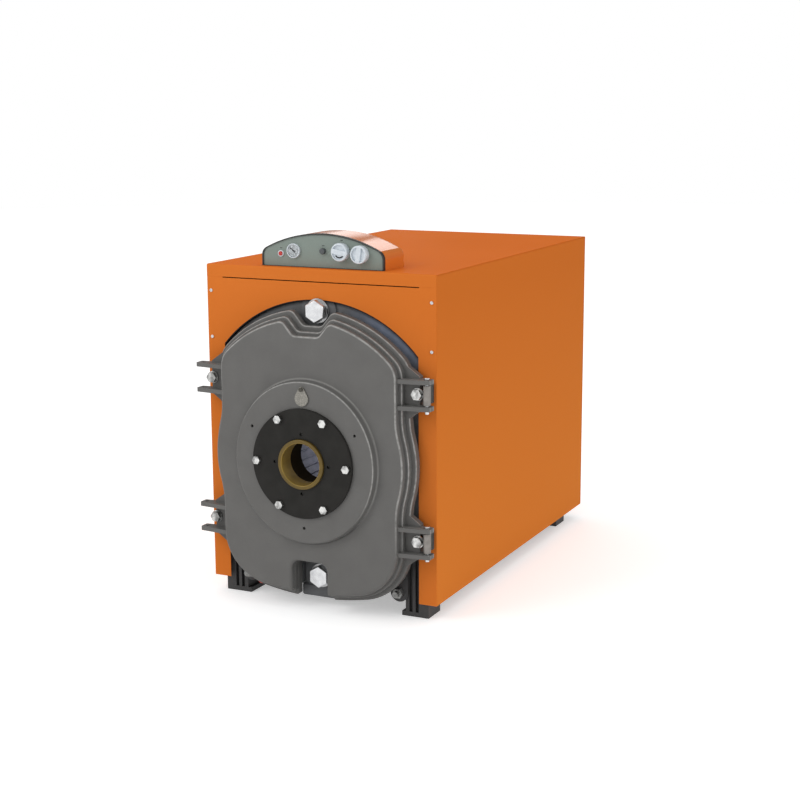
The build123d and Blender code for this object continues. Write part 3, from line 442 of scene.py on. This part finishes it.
# Smoke hood and rear connections
# The smoke hood is a welded steel box in black heat-proof paint, bolted over the flue way.
# The flow and return stubs are steel sockets on round flanges, in the same paint.
heat_paint = start_finish("heat_paint", 0.6, specular=0.35)
paint_dust = grain(heat_paint, 34)
colour_with(heat_paint, between(heat_paint, paint_dust, (44, 44, 45), (60, 59, 58), high=0.72))
roughen_with(heat_paint, paint_dust, 0.5, 0.72)
raise_with(heat_paint, grain(heat_paint, 800), 0.18, 0.0004)
dress(heat_paint, "smoke_hood", "return_connection", "flow_connection")
soften(0.0012, "return_connection", "flow_connection")


# Insulation mats
# Pale mineral-wool mats, cut to size, that line the casing and are held in place by its panels.
# They can be seen only with the panels off.
wool = start_finish("wool", 0.95, specular=0.1)
fibres = grain(wool, 190, 6.0, stretch=(1, 0.25, 1))
colour_with(wool, between(wool, fibres, (186, 178, 152), (222, 216, 196)))
raise_with(wool, fibres, 0.8, 0.003)
dress(wool, "insulation_mats")


# Casing
# Front panel with an arch, tray-shaped sides, lipped top and rear panel: folded sheet steel in orange baked
# paint, hung on two rails and held by screws. Painted shade makes the top a deeper orange, and painted light
# and shade make the sides lighter at the foot and darker at the top.
casing_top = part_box("top_cover")[1][2]
casing_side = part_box("right_side_panel")[1][0]
top_blend = (0.001, 0.0002)
side_blend = (0.0007, 0.0001)
side_fade = (0.1, 0.8)
tone_limits = (0.25, 0.75)
panel_shades = ((211, 114, 45), (216, 119, 50))
top_painted_shades = ((219, 112, 39), (223, 116, 43))
side_painted_shades = ((218, 126, 50), (205, 111, 41))

casing_paint = start_finish("casing_paint", 0.55, specular=0.004)
casing_z = axis_of(casing_paint, "Z")
tone = grain(casing_paint, 2.2, 1.0)
panel_orange = between(casing_paint, tone, *panel_shades, *tone_limits)
from_middle = measure(casing_paint, "ABSOLUTE", axis_of(casing_paint, "X"))
# Painted light and shade on the sides: lighter at the foot, darker at the top.
on_side = ramp_of(casing_paint, from_middle, casing_side - side_blend[0], casing_side - side_blend[1])
side_rise = ramp_of(casing_paint, casing_z, *side_fade)
side_painted_shade = between(casing_paint, side_rise, *side_painted_shades, low=0.0, high=1.0)
panel_orange = layer(casing_paint, on_side, panel_orange, side_painted_shade)
# Painted shade on the top: a deeper orange.
on_top = ramp_of(casing_paint, casing_z, casing_top - top_blend[0], casing_top - top_blend[1])
top_painted_shade = between(casing_paint, tone, *top_painted_shades, *tone_limits)
colour_with(casing_paint, layer(casing_paint, on_top, panel_orange, top_painted_shade))
orange_peel = grain(casing_paint, 620, 1.5)
roughen_with(casing_paint, orange_peel, 0.43, 0.53)
raise_with(casing_paint, orange_peel, 0.05, 0.0005)
dress(casing_paint, "front_panel", "left_side_panel", "right_side_panel", "top_cover", "rear_panel",
      "casing_rails")
soften(0.0004, "front_panel", "rear_panel", segments=1)


# Painted shadow along the front opening
# A thin black strip on the bare sheet edge of the arch, which stands for the painted shadow line between
# the panel and the section behind it. It runs from corner to corner.
opening_half = 0.272
strip_width = 0.0024
strip_bite = 0.0002
strip_inset = 0.0001
strip_depth = 0.0013
strip_steps = 56
casing_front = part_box("front_panel")[0][1]
arch_half = math.asin(opening_half / opening_radius)
strip_start = 0.0001


def arc_strip(name, centre, reach, depth, start, sweep, steps):
    """Strip bent round an axis that runs from front to back, from one angle on through a sweep."""
    strip = block(name, (centre[0] + reach[0], depth[0], centre[2] - strip_start),
                  (centre[0] + reach[1], depth[1], centre[2]))
    ahead = Vector((-math.sin(start), 0, math.cos(start)))
    middle = (centre[0], depth[0], centre[2])
    bpy.ops.object.mode_set(mode="EDIT")
    bpy.ops.mesh.select_all(action="SELECT")
    bpy.ops.transform.rotate(value=start, orient_axis="Y", center_override=middle)
    pick(strip, "FACE", lambda face: face.normal.dot(ahead) > 0.9)
    bpy.ops.mesh.spin(steps=steps, angle=sweep, center=middle, axis=(0, 1, 0))
    close_up()
    bpy.ops.object.mode_set(mode="OBJECT")
    return strip


# Black of the painted shadow line along the arch.
shadow_strip_black = start_finish("shadow_strip_black", 0.7, specular=0.2)
colour_with(shadow_strip_black, between(shadow_strip_black, grain(shadow_strip_black, 300), (20, 20, 21), (30, 30, 31)))
strip_reach = (opening_radius - strip_width, opening_radius + strip_bite)
strip_front = casing_front + strip_inset
painted_shadow_strip = arc_strip("arch_shadow_strip", opening_centre, strip_reach, (strip_front, strip_front + strip_depth),
                   math.pi / 2 - arch_half, 2 * arch_half, strip_steps)
finish_piece(painted_shadow_strip, shadow_strip_black, "boiler")


# Panel screws
# Zinc-plated pan-head screws with a cross recess, cold-headed from steel wire.
# Four hold the front panel and eight the rear one.
screw_radius = 0.0043
screw_height = 0.0026
screw_sunk = 0.0003
screw_round = 0.0012
recess_length = 0.0046
recess_width = 0.001
recess_depth = 0.0012
cutter_rise = 0.001
screw_x = 0.308
front_screw_heights = (0.676, 0.795)
rear_screw_heights = (0.07, 0.3, 0.55, 0.8)
casing_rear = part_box("rear_panel")[1][1]


def cut_with(piece, cutter):
    """Take the cutter's shape out of a piece, and the cutter away."""
    take(piece)
    cut = piece.modifiers.new("cut", "BOOLEAN")
    cut.operation = "DIFFERENCE"
    cut.solver = "EXACT"
    cut.object = cutter
    bpy.ops.object.modifier_apply(modifier=cut.name)
    bpy.data.objects.remove(cutter, do_unlink=True)


def disc(name, centre, radius, front, back, sides):
    """Round disc that faces -Y, with its flat faces at front and back, as a start for a piece."""
    bpy.ops.object.select_all(action="DESELECT")
    bpy.ops.mesh.primitive_cylinder_add(vertices=sides, radius=radius, depth=back - front,
                                        location=(centre[0], (front + back) / 2, centre[1]),
                                        rotation=(math.pi / 2, 0, 0))
    return settle(name)


def faces_front(face):
    return face.normal.y < -0.9


def rims_front(edge):
    """Whether an edge lies between the front face and a side face."""
    return len(edge.link_faces) == 2 and sum(faces_front(face) for face in edge.link_faces) == 1


def round_front(piece, width, segments):
    """Round the rim of a piece's front face."""
    bpy.ops.object.mode_set(mode="EDIT")
    pick(piece, "EDGE", rims_front)
    bpy.ops.mesh.bevel(offset=width, segments=segments)
    bpy.ops.object.mode_set(mode="OBJECT")


screw = disc("panel_screw", (0, 0), screw_radius, -screw_height, screw_sunk, sides=20)
round_front(screw, screw_round, 3)
for reach in ((recess_length / 2, recess_width / 2), (recess_width / 2, recess_length / 2)):
    cross_arm = block("cross_arm", (-reach[0], -screw_height - cutter_rise, -reach[1]),
                      (reach[0], -screw_height + recess_depth, reach[1]))
    cut_with(screw, cross_arm)

for label, heights, panel_face, turn in (("front_screw", front_screw_heights, casing_front, 0),
                                         ("rear_screw", rear_screw_heights, casing_rear, math.pi)):
    places = [(side * screw_x, panel_face, height) for side in (-1, 1) for height in heights]
    for i, place in enumerate(places):
        panel_screw = copy_to(screw, f"{label}_{i + 1}", place, (0, 0, turn))
        finish_piece(panel_screw, bright_zinc, "boiler")
bpy.data.objects.remove(screw, do_unlink=True)


# Burner door
# One grey-iron sand casting with steps, a round boss and paired ears, in a thin metallic grey coat. Painted
# highlights light its raised edges at the top and right, and the foot of the boss has a painted highlight
# there and a painted shadow below.
flange_front = -0.5605
step_front = -0.5785
face_front = -0.5965
boss_front = -0.6165
edge_depth = 0.0045
boss_edge = 0.004
highlight_blend = (0.0002, 0.0009)
highlight_fade = 0.5
highlight_slope = 0.75
highlight_rise = (0.34, 0.5)
patch_limits = (0.3, 0.6)
patch_least = 0.35
boss_half_width = 0.196
boss_half_height = 0.208
foot_inner = (0.994, 1.0)
foot_outer = (1.006, 1.022)
foot_strength = 0.6
foot_height = (0.004, 0.006)
lit_rise = (0.35, 0.5)
coat_shades = ((97, 96, 94), (102, 101, 99))
painted_shadow_grey = (62, 61, 59)
highlight_grey = (158, 157, 154)

door_coat = start_finish("door_coat", 0.5, specular=0.3)
door_x = axis_of(door_coat, "X")
door_y = axis_of(door_coat, "Y")
door_z = axis_of(door_coat, "Z")
painted_highlight = None
# Painted highlights on the raised edges, only at the top and right, broken into patches.
for level, width in ((flange_front, edge_depth), (step_front, edge_depth), (face_front, edge_depth),
                     (boss_front, boss_edge)):
    inner = ramp_of(door_coat, door_y, level + highlight_blend[0], level + highlight_blend[1])
    outer = ramp_of(door_coat, door_y, level + width * highlight_fade, level + width, 1.0, 0.0)
    band = overlap(door_coat, inner, outer)
    painted_highlight = band if painted_highlight is None else measure(door_coat, "MAXIMUM", painted_highlight, band)
highlight_side = measure(door_coat, "ADD", door_z, measure(door_coat, "MULTIPLY", door_x, highlight_slope))
painted_highlight = overlap(door_coat, painted_highlight, ramp_of(door_coat, highlight_side, *highlight_rise))
patches = ramp_of(door_coat, grain(door_coat, 90), *patch_limits, patch_least, 1.0)
painted_highlight = overlap(door_coat, painted_highlight, patches)

# Painted highlight on the foot of the boss at the top and right, and painted shadow below it.
from_boss = distance_from(door_coat, chamber_axis, (1 / boss_half_width, 0, 1 / boss_half_height))
boss_foot = overlap(door_coat, ramp_of(door_coat, from_boss, *foot_inner),
                    ramp_of(door_coat, from_boss, *foot_outer, foot_strength, 0.0))
near_face = ramp_of(door_coat, door_y, face_front - foot_height[0], face_front - foot_height[1], 1.0, 0.0)
boss_foot = overlap(door_coat, boss_foot, near_face)
lit_side = ramp_of(door_coat, measure(door_coat, "ADD", door_x, door_z), *lit_rise)
low_side = measure(door_coat, "SUBTRACT", 1.0, lit_side)
coat_colour = between(door_coat, grain(door_coat, 18), *coat_shades)
coat_colour = layer(door_coat, overlap(door_coat, boss_foot, low_side), coat_colour, painted_shadow_grey)
bright = measure(door_coat, "MAXIMUM", painted_highlight, overlap(door_coat, boss_foot, lit_side))
colour_with(door_coat, layer(door_coat, bright, coat_colour, highlight_grey))
casting_skin = grain(door_coat, 380, 4.0)
roughen_with(door_coat, casting_skin, 0.42, 0.6)
raise_with(door_coat, casting_skin, 0.3, 0.0006)
dress(door_coat, "burner_door")


# Refractory and rope of the door
# A cast refractory slab fills the door's pocket, black with soot round the burner hole, and a braided
# glass rope in a groove seals it.
soot_radius = 0.075
soot_fade = 0.02
soot = (48, 39, 25)
refractory = start_finish("refractory", 0.95, specular=0.05)
chips = grain(refractory, 150, 5.0)
bare_slab = between(refractory, chips, (150, 140, 122), (196, 186, 166))
from_hole = distance_from(refractory, chamber_axis, (1, 0, 1))
past_soot = ramp_of(refractory, from_hole, soot_radius, soot_radius + soot_fade)
colour_with(refractory, layer(refractory, past_soot, soot, bare_slab))
raise_with(refractory, chips, 0.6, 0.0015)
dress(refractory, "door_refractory")

braid_scale = 320
rope = start_finish("rope", 0.9, specular=0.15)
braid = add_node(rope, "ShaderNodeTexVoronoi")
braid.inputs["Scale"].default_value = braid_scale
link(rope, place_on(rope), braid.inputs["Vector"])
strands = braid.outputs["Distance"]
colour_with(rope, between(rope, strands, (206, 202, 190), (138, 134, 124), low=0.1, high=0.6))
raise_with(rope, strands, 0.9, 0.002)
dress(rope, "door_rope")


# Burner plate with its bolts
# A turned black steel plate on the boss, held by six hexagon bolts. The zinc of these and of the four that
# clamp the door is dull in patches, and painted shade darkens the inner half of the two at the left.
latch_bolt_x = -0.287
latch_side = (-0.25, -0.24)
shade_blend = (-0.004, 0.002)
shade_least = 0.15
stain_limits = (0.35, 0.62)
fair_shades = ((128, 128, 127), (210, 210, 208))
shaded_zinc_shades = ((92, 92, 91), (155, 155, 153))

plate_paint = start_finish("plate_paint", 0.5, specular=0.1)
plate_dust = grain(plate_paint, 30)
colour_with(plate_paint, between(plate_paint, plate_dust, (37, 36, 34), (45, 44, 42)))
roughen_with(plate_paint, plate_dust, 0.42, 0.6)
raise_with(plate_paint, grain(plate_paint, 900), 0.12, 0.0003)
dress(plate_paint, "burner_plate")

bolt_zinc = start_finish("bolt_zinc", 0.36, metallic=1.0)
bolt_x = axis_of(bolt_zinc, "X")
bolt_stain = grain(bolt_zinc, 75)
fair_zinc = between(bolt_zinc, bolt_stain, *fair_shades, *stain_limits)
painted_shade_zinc = between(bolt_zinc, bolt_stain, *shaded_zinc_shades, *stain_limits)
# Painted shade on the inner half of the two door bolts at the left.
inner_half = ramp_of(bolt_zinc, bolt_x, latch_bolt_x + shade_blend[0], latch_bolt_x + shade_blend[1],
                     shade_least, 1.0)
painted_shade_at_latch = overlap(bolt_zinc, ramp_of(bolt_zinc, bolt_x, *latch_side, 1.0, 0.0), inner_half)
colour_with(bolt_zinc, layer(bolt_zinc, painted_shade_at_latch, fair_zinc, painted_shade_zinc))
roughen_with(bolt_zinc, bolt_stain, 0.45, 0.25)
dress(bolt_zinc, "plate_bolts", "door_bolts")
soften(0.0012, "plate_bolts", segments=3)
soften(0.0014, "door_bolts", segments=3)


# Burner sleeve
# A short turned ring of yellow-passivated steel that lines the burner hole.
# Its rim is a brown gold, and its bore is a brighter gold that is painted light on the wall in shade.
sleeve_bore = 0.053
bore_blend = (0.0004, 0.002)
sleeve_gold = start_finish("sleeve_gold", 0.42, metallic=0.4)
passivation = grain(sleeve_gold, 45)
rim_gold = between(sleeve_gold, passivation, (88, 71, 25), (104, 84, 33))
bore_painted_light = between(sleeve_gold, passivation, (146, 120, 52), (164, 136, 64))
# Painted light: the bore is brighter than the rim.
from_bore = distance_from(sleeve_gold, chamber_axis, (1, 0, 1))
past_bore = ramp_of(sleeve_gold, from_bore, sleeve_bore + bore_blend[0], sleeve_bore + bore_blend[1])
colour_with(sleeve_gold, layer(sleeve_gold, past_bore, bore_painted_light, rim_gold))
roughen_with(sleeve_gold, passivation, 0.34, 0.5)
dress(sleeve_gold, "burner_sleeve")


# Sight-hole cover
# A small cast cover in pale aluminium that hangs over the sight hole and swings aside.
# It turns on a dark steel pin in the boss.
cover_cast = start_finish("cover_cast", 0.5, metallic=0.55)
cover_skin = grain(cover_cast, 260, 4.0)
colour_with(cover_cast, between(cover_cast, cover_skin, (118, 116, 110), (152, 149, 141)))
raise_with(cover_cast, cover_skin, 0.5, 0.0008)
dress(cover_cast, "sight_cover")
pin_steel = start_finish("pin_steel", 0.45, metallic=0.8)
colour_with(pin_steel, between(pin_steel, grain(pin_steel, 300), (66, 64, 59), (84, 82, 76)))
dress(pin_steel, "sight_cover_pin")


# Hinges and latch plates
# Hinge brackets and latch plates of dark forged steel are bolted to the front section. The knuckles
# are turned bright, and the door's ears turn on two zinc-plated pins.
hinge_axis = (0.313, -0.5665, 0)
knuckle_radius = 0.009
knuckle_blend = (0.0002, 0.001)
forged = start_finish("forged", 0.5, metallic=0.3, specular=0.4)
scale_marks = grain(forged, 70)
plain_steel = between(forged, scale_marks, (66, 70, 69), (84, 88, 86))
turned_steel = between(forged, scale_marks, (126, 122, 118), (152, 147, 142))
from_pin = distance_from(forged, hinge_axis, (1, 1, 0))
off_knuckle = ramp_of(forged, from_pin, knuckle_radius + knuckle_blend[0], knuckle_radius + knuckle_blend[1])
colour_with(forged, layer(forged, off_knuckle, turned_steel, plain_steel))
roughen_with(forged, scale_marks, 0.4, 0.62)
raise_with(forged, grain(forged, 500), 0.2, 0.0005)
dress(forged, "lower_hinge_bracket", "upper_hinge_bracket", "latch_plates")
soften(0.0012, "lower_hinge_bracket", "upper_hinge_bracket", "latch_plates")
dress(bright_zinc, "hinge_pins")
soften(0.0008, "hinge_pins")


# Control panel
# A glossy orange moulded hood on the top cover, with a grey-green painted fascia inside a black edge trim.
# Knobs, lamp ring and thermometer case are white mouldings, the reset cap is grey and the lamp's lens is red.
hood_gloss = start_finish("hood_gloss", 0.14, specular=0.5)
hood_tone = grain(hood_gloss, 3.0, 1.0)
colour_with(hood_gloss, between(hood_gloss, hood_tone, (214, 116, 44), (222, 124, 50), *tone_limits))
raise_with(hood_gloss, grain(hood_gloss, 160, 1.0), 0.03, 0.0006)
dress(hood_gloss, "control_hood")

black_moulding = start_finish("black_moulding", 0.45, specular=0.45)
mould_grain = grain(black_moulding, 1200, 2.0)
colour_with(black_moulding, between(black_moulding, mould_grain, (40, 42, 40), (52, 54, 52)))
raise_with(black_moulding, mould_grain, 0.12, 0.0002)
dress(black_moulding, "fascia_trim")

grey_moulding = start_finish("grey_moulding", 0.4, specular=0.45)
cap_grain = grain(grey_moulding, 900, 2.0)
colour_with(grey_moulding, between(grey_moulding, cap_grain, (68, 72, 74), (84, 88, 90)))
raise_with(grey_moulding, cap_grain, 0.1, 0.0002)
dress(grey_moulding, "reset_cap")
dress(red_moulding, "pilot_lamp")

fascia_paint = start_finish("fascia_paint", 0.6, specular=0.3)
stipple = grain(fascia_paint, 1400, 2.0)
colour_with(fascia_paint, between(fascia_paint, stipple, (126, 137, 130), (134, 145, 138)))
raise_with(fascia_paint, stipple, 0.1, 0.0002)
dress(fascia_paint, "control_fascia")

white_moulding = start_finish("white_moulding", 0.25)
white_tone = grain(white_moulding, 120)
colour_with(white_moulding, between(white_moulding, white_tone, (203, 211, 218), (217, 224, 230)))
roughen_with(white_moulding, white_tone, 0.2, 0.3)
dress(white_moulding, "thermostat_knob", "switch_knob", "lamp_ring", "thermometer_case")
soften(0.0012, "thermostat_knob", "switch_knob", segments=3)

gauge_glass = start_finish("gauge_glass", 0.03)
shader_of(gauge_glass).inputs["Transmission Weight"].default_value = 1.0
shader_of(gauge_glass).inputs["IOR"].default_value = 1.35
raise_with(gauge_glass, grain(gauge_glass, 60), 0.01, 0.0003)
dress(gauge_glass, "thermometer_glass")


# Thermometer dial
# A white disc at the bottom of the case, with thin raised ticks and numbers printed in grey.
# The black needle is stamped from sheet and sits on a small hub.
case_low, case_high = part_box("thermometer_case")
gauge_x = (case_low[0] + case_high[0]) / 2
gauge_z = (case_low[2] + case_high[2]) / 2
case_depth = 0.003
dial_thickness = 0.0003
print_thickness = 0.0001
sunk = 0.0001
dial_floor = case_low[1] + case_depth
dial_front = dial_floor - dial_thickness
print_front = dial_front - print_thickness
dial_radius = 0.0155
dial_sweep = math.radians(270)
tick_count = 13
tick_width = 0.0005
tick_reach = (0.0126, 0.0148)

dial_white = start_finish("dial_white", 0.5, specular=0.3)
colour_with(dial_white, between(dial_white, grain(dial_white, 400), (230, 239, 243), (240, 246, 249)))
dial_black = start_finish("dial_black", 0.5, specular=0.3)
colour_with(dial_black, between(dial_black, grain(dial_black, 900), (34, 35, 37), (46, 47, 49)))
dial_grey = start_finish("dial_grey", 0.5, specular=0.3)
colour_with(dial_grey, between(dial_grey, grain(dial_grey, 900), (104, 106, 108), (122, 124, 126)))

dial = disc("gauge_dial", (gauge_x, gauge_z), dial_radius, dial_front, dial_floor + sunk, sides=64)
round_front(dial, print_thickness, 1)
finish_piece(dial, dial_white, "boiler")

ticks = block("gauge_ticks", (gauge_x - tick_width / 2, print_front, gauge_z + tick_reach[0]),
              (gauge_x + tick_width / 2, dial_front + sunk, gauge_z + tick_reach[1]))
print_middle = (gauge_x, print_front, gauge_z)
bpy.ops.object.mode_set(mode="EDIT")
bpy.ops.mesh.select_all(action="SELECT")
bpy.ops.transform.rotate(value=dial_sweep / 2, orient_axis="Y", center_override=print_middle)
bpy.ops.mesh.spin(steps=tick_count - 1, dupli=True, angle=dial_sweep, center=print_middle, axis=(0, 1, 0))
close_up()
bpy.ops.object.mode_set(mode="OBJECT")
finish_piece(ticks, dial_grey, "boiler")

number_size = 0.0032
number_ring = 0.0098
numbers = ("0", "30", "60", "90", "120")
for i, number in enumerate(numbers):
    lean = dial_sweep * (i / (len(numbers) - 1) - 0.5)
    number_place = (gauge_x + number_ring * math.sin(lean), dial_front,
                    gauge_z + number_ring * math.cos(lean))
    bpy.ops.object.select_all(action="DESELECT")
    bpy.ops.object.text_add(location=number_place, rotation=(math.pi / 2, 0, 0))
    lettering = bpy.context.object.data
    lettering.body = number
    lettering.size = number_size
    lettering.align_x = "CENTER"
    lettering.align_y = "CENTER"
    lettering.extrude = print_thickness
    lettering.resolution_u = 3
    bpy.ops.object.convert(target="MESH")
    finish_piece(settle(f"gauge_number_{number}"), dial_grey, "boiler")

needle_length = 0.0125
needle_tail = 0.0055
needle_width = 0.0042
needle_tip = 0.4
needle_thickness = 0.0003
needle_rise = 0.0008
needle_lean = math.radians(-52)
needle_front = dial_front - needle_rise
needle = block("gauge_needle", (gauge_x - needle_width / 2, needle_front, gauge_z - needle_tail),
               (gauge_x + needle_width / 2, needle_front + needle_thickness, gauge_z + needle_length))
needle_middle = (gauge_x, needle_front, gauge_z)
bpy.ops.object.mode_set(mode="EDIT")
pick(needle, "FACE", lambda face: face.normal.z > 0.9)
bpy.ops.transform.resize(value=(needle_tip, 1, 1))
bpy.ops.mesh.select_all(action="SELECT")
bpy.ops.transform.rotate(value=-needle_lean, orient_axis="Y", center_override=needle_middle)
bpy.ops.object.mode_set(mode="OBJECT")
finish_piece(needle, dial_black, "boiler")

hub_radius = 0.002
hub_rise = 0.0003
hub_round = 0.0004
needle_hub = disc("gauge_hub", (gauge_x, gauge_z), hub_radius, needle_front - hub_rise, dial_front + sunk,
                  sides=24)
round_front(needle_hub, hub_round, 2)
finish_piece(needle_hub, dial_black, "boiler")


# Painted shadow in the thermostat knob
# A dark crescent of painted shadow in the lower scoop of the white knob.
# It turns with the knob.
knob_low, knob_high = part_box("thermostat_knob")
knob_x = (knob_low[0] + knob_high[0]) / 2
knob_z = (knob_low[2] + knob_high[2]) / 2
scoop_depth = 0.005
scoop_floor = knob_low[1] + scoop_depth
crescent_rise = 0.0002
crescent_reach = (0.0113, 0.015)
crescent_start = math.radians(-142)
crescent_sweep = math.radians(98)
crescent_steps = 24

scoop_shadow = arc_strip("knob_scoop_shadow", (knob_x, 0, knob_z), crescent_reach,
                     (scoop_floor - crescent_rise, scoop_floor + sunk), crescent_start, crescent_sweep,
                     crescent_steps)
finish_piece(scoop_shadow, dial_black, "thermostat_knob")


# Marks of the fascia
# Short bars above the lamp, the reset cap and the two knobs, which show where each control points.
# They are printed in black on the grey-green paint.
fascia_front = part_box("control_fascia")[0][1]
mark_rise = 0.0055
mark_length = 0.0065
mark_width = 0.0016
mark_thickness = 0.00015
mark_round = 0.3
for i, control in enumerate(("lamp_ring", "reset_cap", "thermostat_knob", "switch_knob")):
    control_low, control_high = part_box(control)
    mark_x = (control_low[0] + control_high[0]) / 2
    mark_z = control_high[2] + mark_rise
    mark = block(f"fascia_mark_{i + 1}",
                 (mark_x - mark_length / 2, fascia_front - mark_thickness, mark_z - mark_width / 2),
                 (mark_x + mark_length / 2, fascia_front + sunk, mark_z + mark_width / 2))
    bpy.ops.object.mode_set(mode="EDIT")
    pick(mark, "EDGE", runs_back)
    bpy.ops.mesh.bevel(offset=mark_width * mark_round, segments=2)
    bpy.ops.object.mode_set(mode="OBJECT")
    finish_piece(mark, dial_black, "boiler")


# Studio
# A pale floor that keeps the shadow, a white surround, soft lamps in front and at the right, two behind that
# shine on the hood, and one in the combustion chamber that shows its fluted wall through the burner hole.
def seen_light(owner):
    """1 for what the camera sees straight, in a reflection or through glass, and 0 for plain light."""
    path = add_node(owner, "ShaderNodeLightPath")
    seen = path.outputs["Is Camera Ray"]
    for kind in ("Is Glossy Ray", "Is Transmission Ray"):
        seen = measure(owner, "MAXIMUM", seen, path.outputs[kind])
    return seen


white = (1, 1, 1, 1)
surround_light = 0.8
mirror_bright = 0.94
mirror_dim = 0.1
mirror_side = (0.6, 0.8, 0.0)
mirror_span = (-0.1, 0.6)
world = bpy.data.worlds.new("surround")
world.use_nodes = True
bpy.context.scene.world = world
background = world.node_tree.nodes["Background"]
background.inputs["Color"].default_value = white
direction = add_node(world, "ShaderNodeTexCoord")
sideways = add_node(world, "ShaderNodeVectorMath", operation="DOT_PRODUCT")
sideways.inputs[1].default_value = mirror_side
link(world, direction.outputs["Generated"], sideways.inputs[0])
mirrored = ramp_of(world, sideways.outputs["Value"], *mirror_span, mirror_bright, mirror_dim)
plain = ramp_of(world, seen_light(world), 0.0, 1.0, surround_light, 1.0)
world_path = add_node(world, "ShaderNodeLightPath")
# A mix node has its two numbers in sockets 2 and 3, and the mixed number in output 0.
glossy = add_node(world, "ShaderNodeMix")
link(world, world_path.outputs["Is Glossy Ray"], glossy.inputs["Factor"])
link(world, plain, glossy.inputs[2])
link(world, mirrored, glossy.inputs[3])
link(world, glossy.outputs[0], background.inputs["Strength"])

floor_radius = 14.0
floor_height = -0.0005
floor_lift = 0.4
floor_grey = (0.9, 0.9, 0.9, 1)
bpy.ops.object.select_all(action="DESELECT")
bpy.ops.mesh.primitive_circle_add(vertices=96, radius=floor_radius, fill_type="NGON",
                                  location=(0, 0, floor_height))
floor = settle("floor")
floor_white = bpy.data.materials.new("floor_white")
floor_white.use_nodes = True
floor_white.node_tree.nodes.clear()
matt = add_node(floor_white, "ShaderNodeBsdfDiffuse")
matt.inputs["Color"].default_value = floor_grey
glow = add_node(floor_white, "ShaderNodeEmission")
glow.inputs["Color"].default_value = white
lift = measure(floor_white, "MULTIPLY", seen_light(floor_white), floor_lift)
link(floor_white, lift, glow.inputs["Strength"])
both = add_node(floor_white, "ShaderNodeAddShader")
link(floor_white, matt.outputs["BSDF"], both.inputs[0])
link(floor_white, glow.outputs["Emission"], both.inputs[1])
surface = add_node(floor_white, "ShaderNodeOutputMaterial")
link(floor_white, both.outputs["Shader"], surface.inputs["Surface"])
floor.data.materials.append(floor_white)


def lamp(name, kind, place, target, watts, size):
    """Lamp that the camera doesn't see, aimed at a point."""
    data = bpy.data.lights.new(name, kind)
    data.energy = watts
    if kind == "AREA":
        data.size = size
    else:
        data.shadow_soft_size = size
    holder = bpy.data.objects.new(name, data)
    bpy.context.collection.objects.link(holder)
    holder.location = place
    holder.rotation_euler = (Vector(target) - Vector(place)).to_track_quat("-Z", "Y").to_euler()
    holder.visible_camera = False


hood_top = (0.08, -0.42, 0.93)
lamp("key_lamp", "AREA", (-2.4, -3.6, 3.0), (0, 0, 0.45), watts=50, size=2.2)
lamp("fill_lamp", "AREA", (4.0, -1.3, 0.6), (0.3, 0.1, 0.3), watts=20, size=1.6)
lamp("hood_lamp_left", "AREA", (-1.38, 2.55, 1.61), hood_top, watts=1.3, size=0.55)
lamp("hood_lamp_right", "AREA", (-0.66, 2.55, 2.29), hood_top, watts=2.2, size=0.55)
lamp("chamber_lamp", "POINT", (-0.03, -0.18, 0.40), chamber_axis, watts=0.5, size=0.04)

camera_place = Vector((1.83203, -3.88724, 1.29139))
camera_turn = math.radians(25.5885)
camera_rise = math.radians(11.2147)
camera_roll = math.radians(-0.2940)
back = Vector((math.sin(camera_turn) * math.cos(camera_rise), -math.cos(camera_turn) * math.cos(camera_rise),
               math.sin(camera_rise)))
right = (-back).cross(Vector((0, 0, 1))).normalized()
up = right.cross(-back)
rolled_right = math.cos(camera_roll) * right + math.sin(camera_roll) * up
rolled_up = -math.sin(camera_roll) * right + math.cos(camera_roll) * up
camera_data = bpy.data.cameras.new("camera")
camera_data.lens = 70.293
camera_data.sensor_width = 36
camera = bpy.data.objects.new("camera", camera_data)
bpy.context.collection.objects.link(camera)
axes = Matrix((rolled_right, rolled_up, back)).transposed()
camera.matrix_world = Matrix.Translation(camera_place) @ axes.to_4x4()
bpy.context.scene.camera = camera
bpy.context.scene.view_settings.view_transform = "Standard"
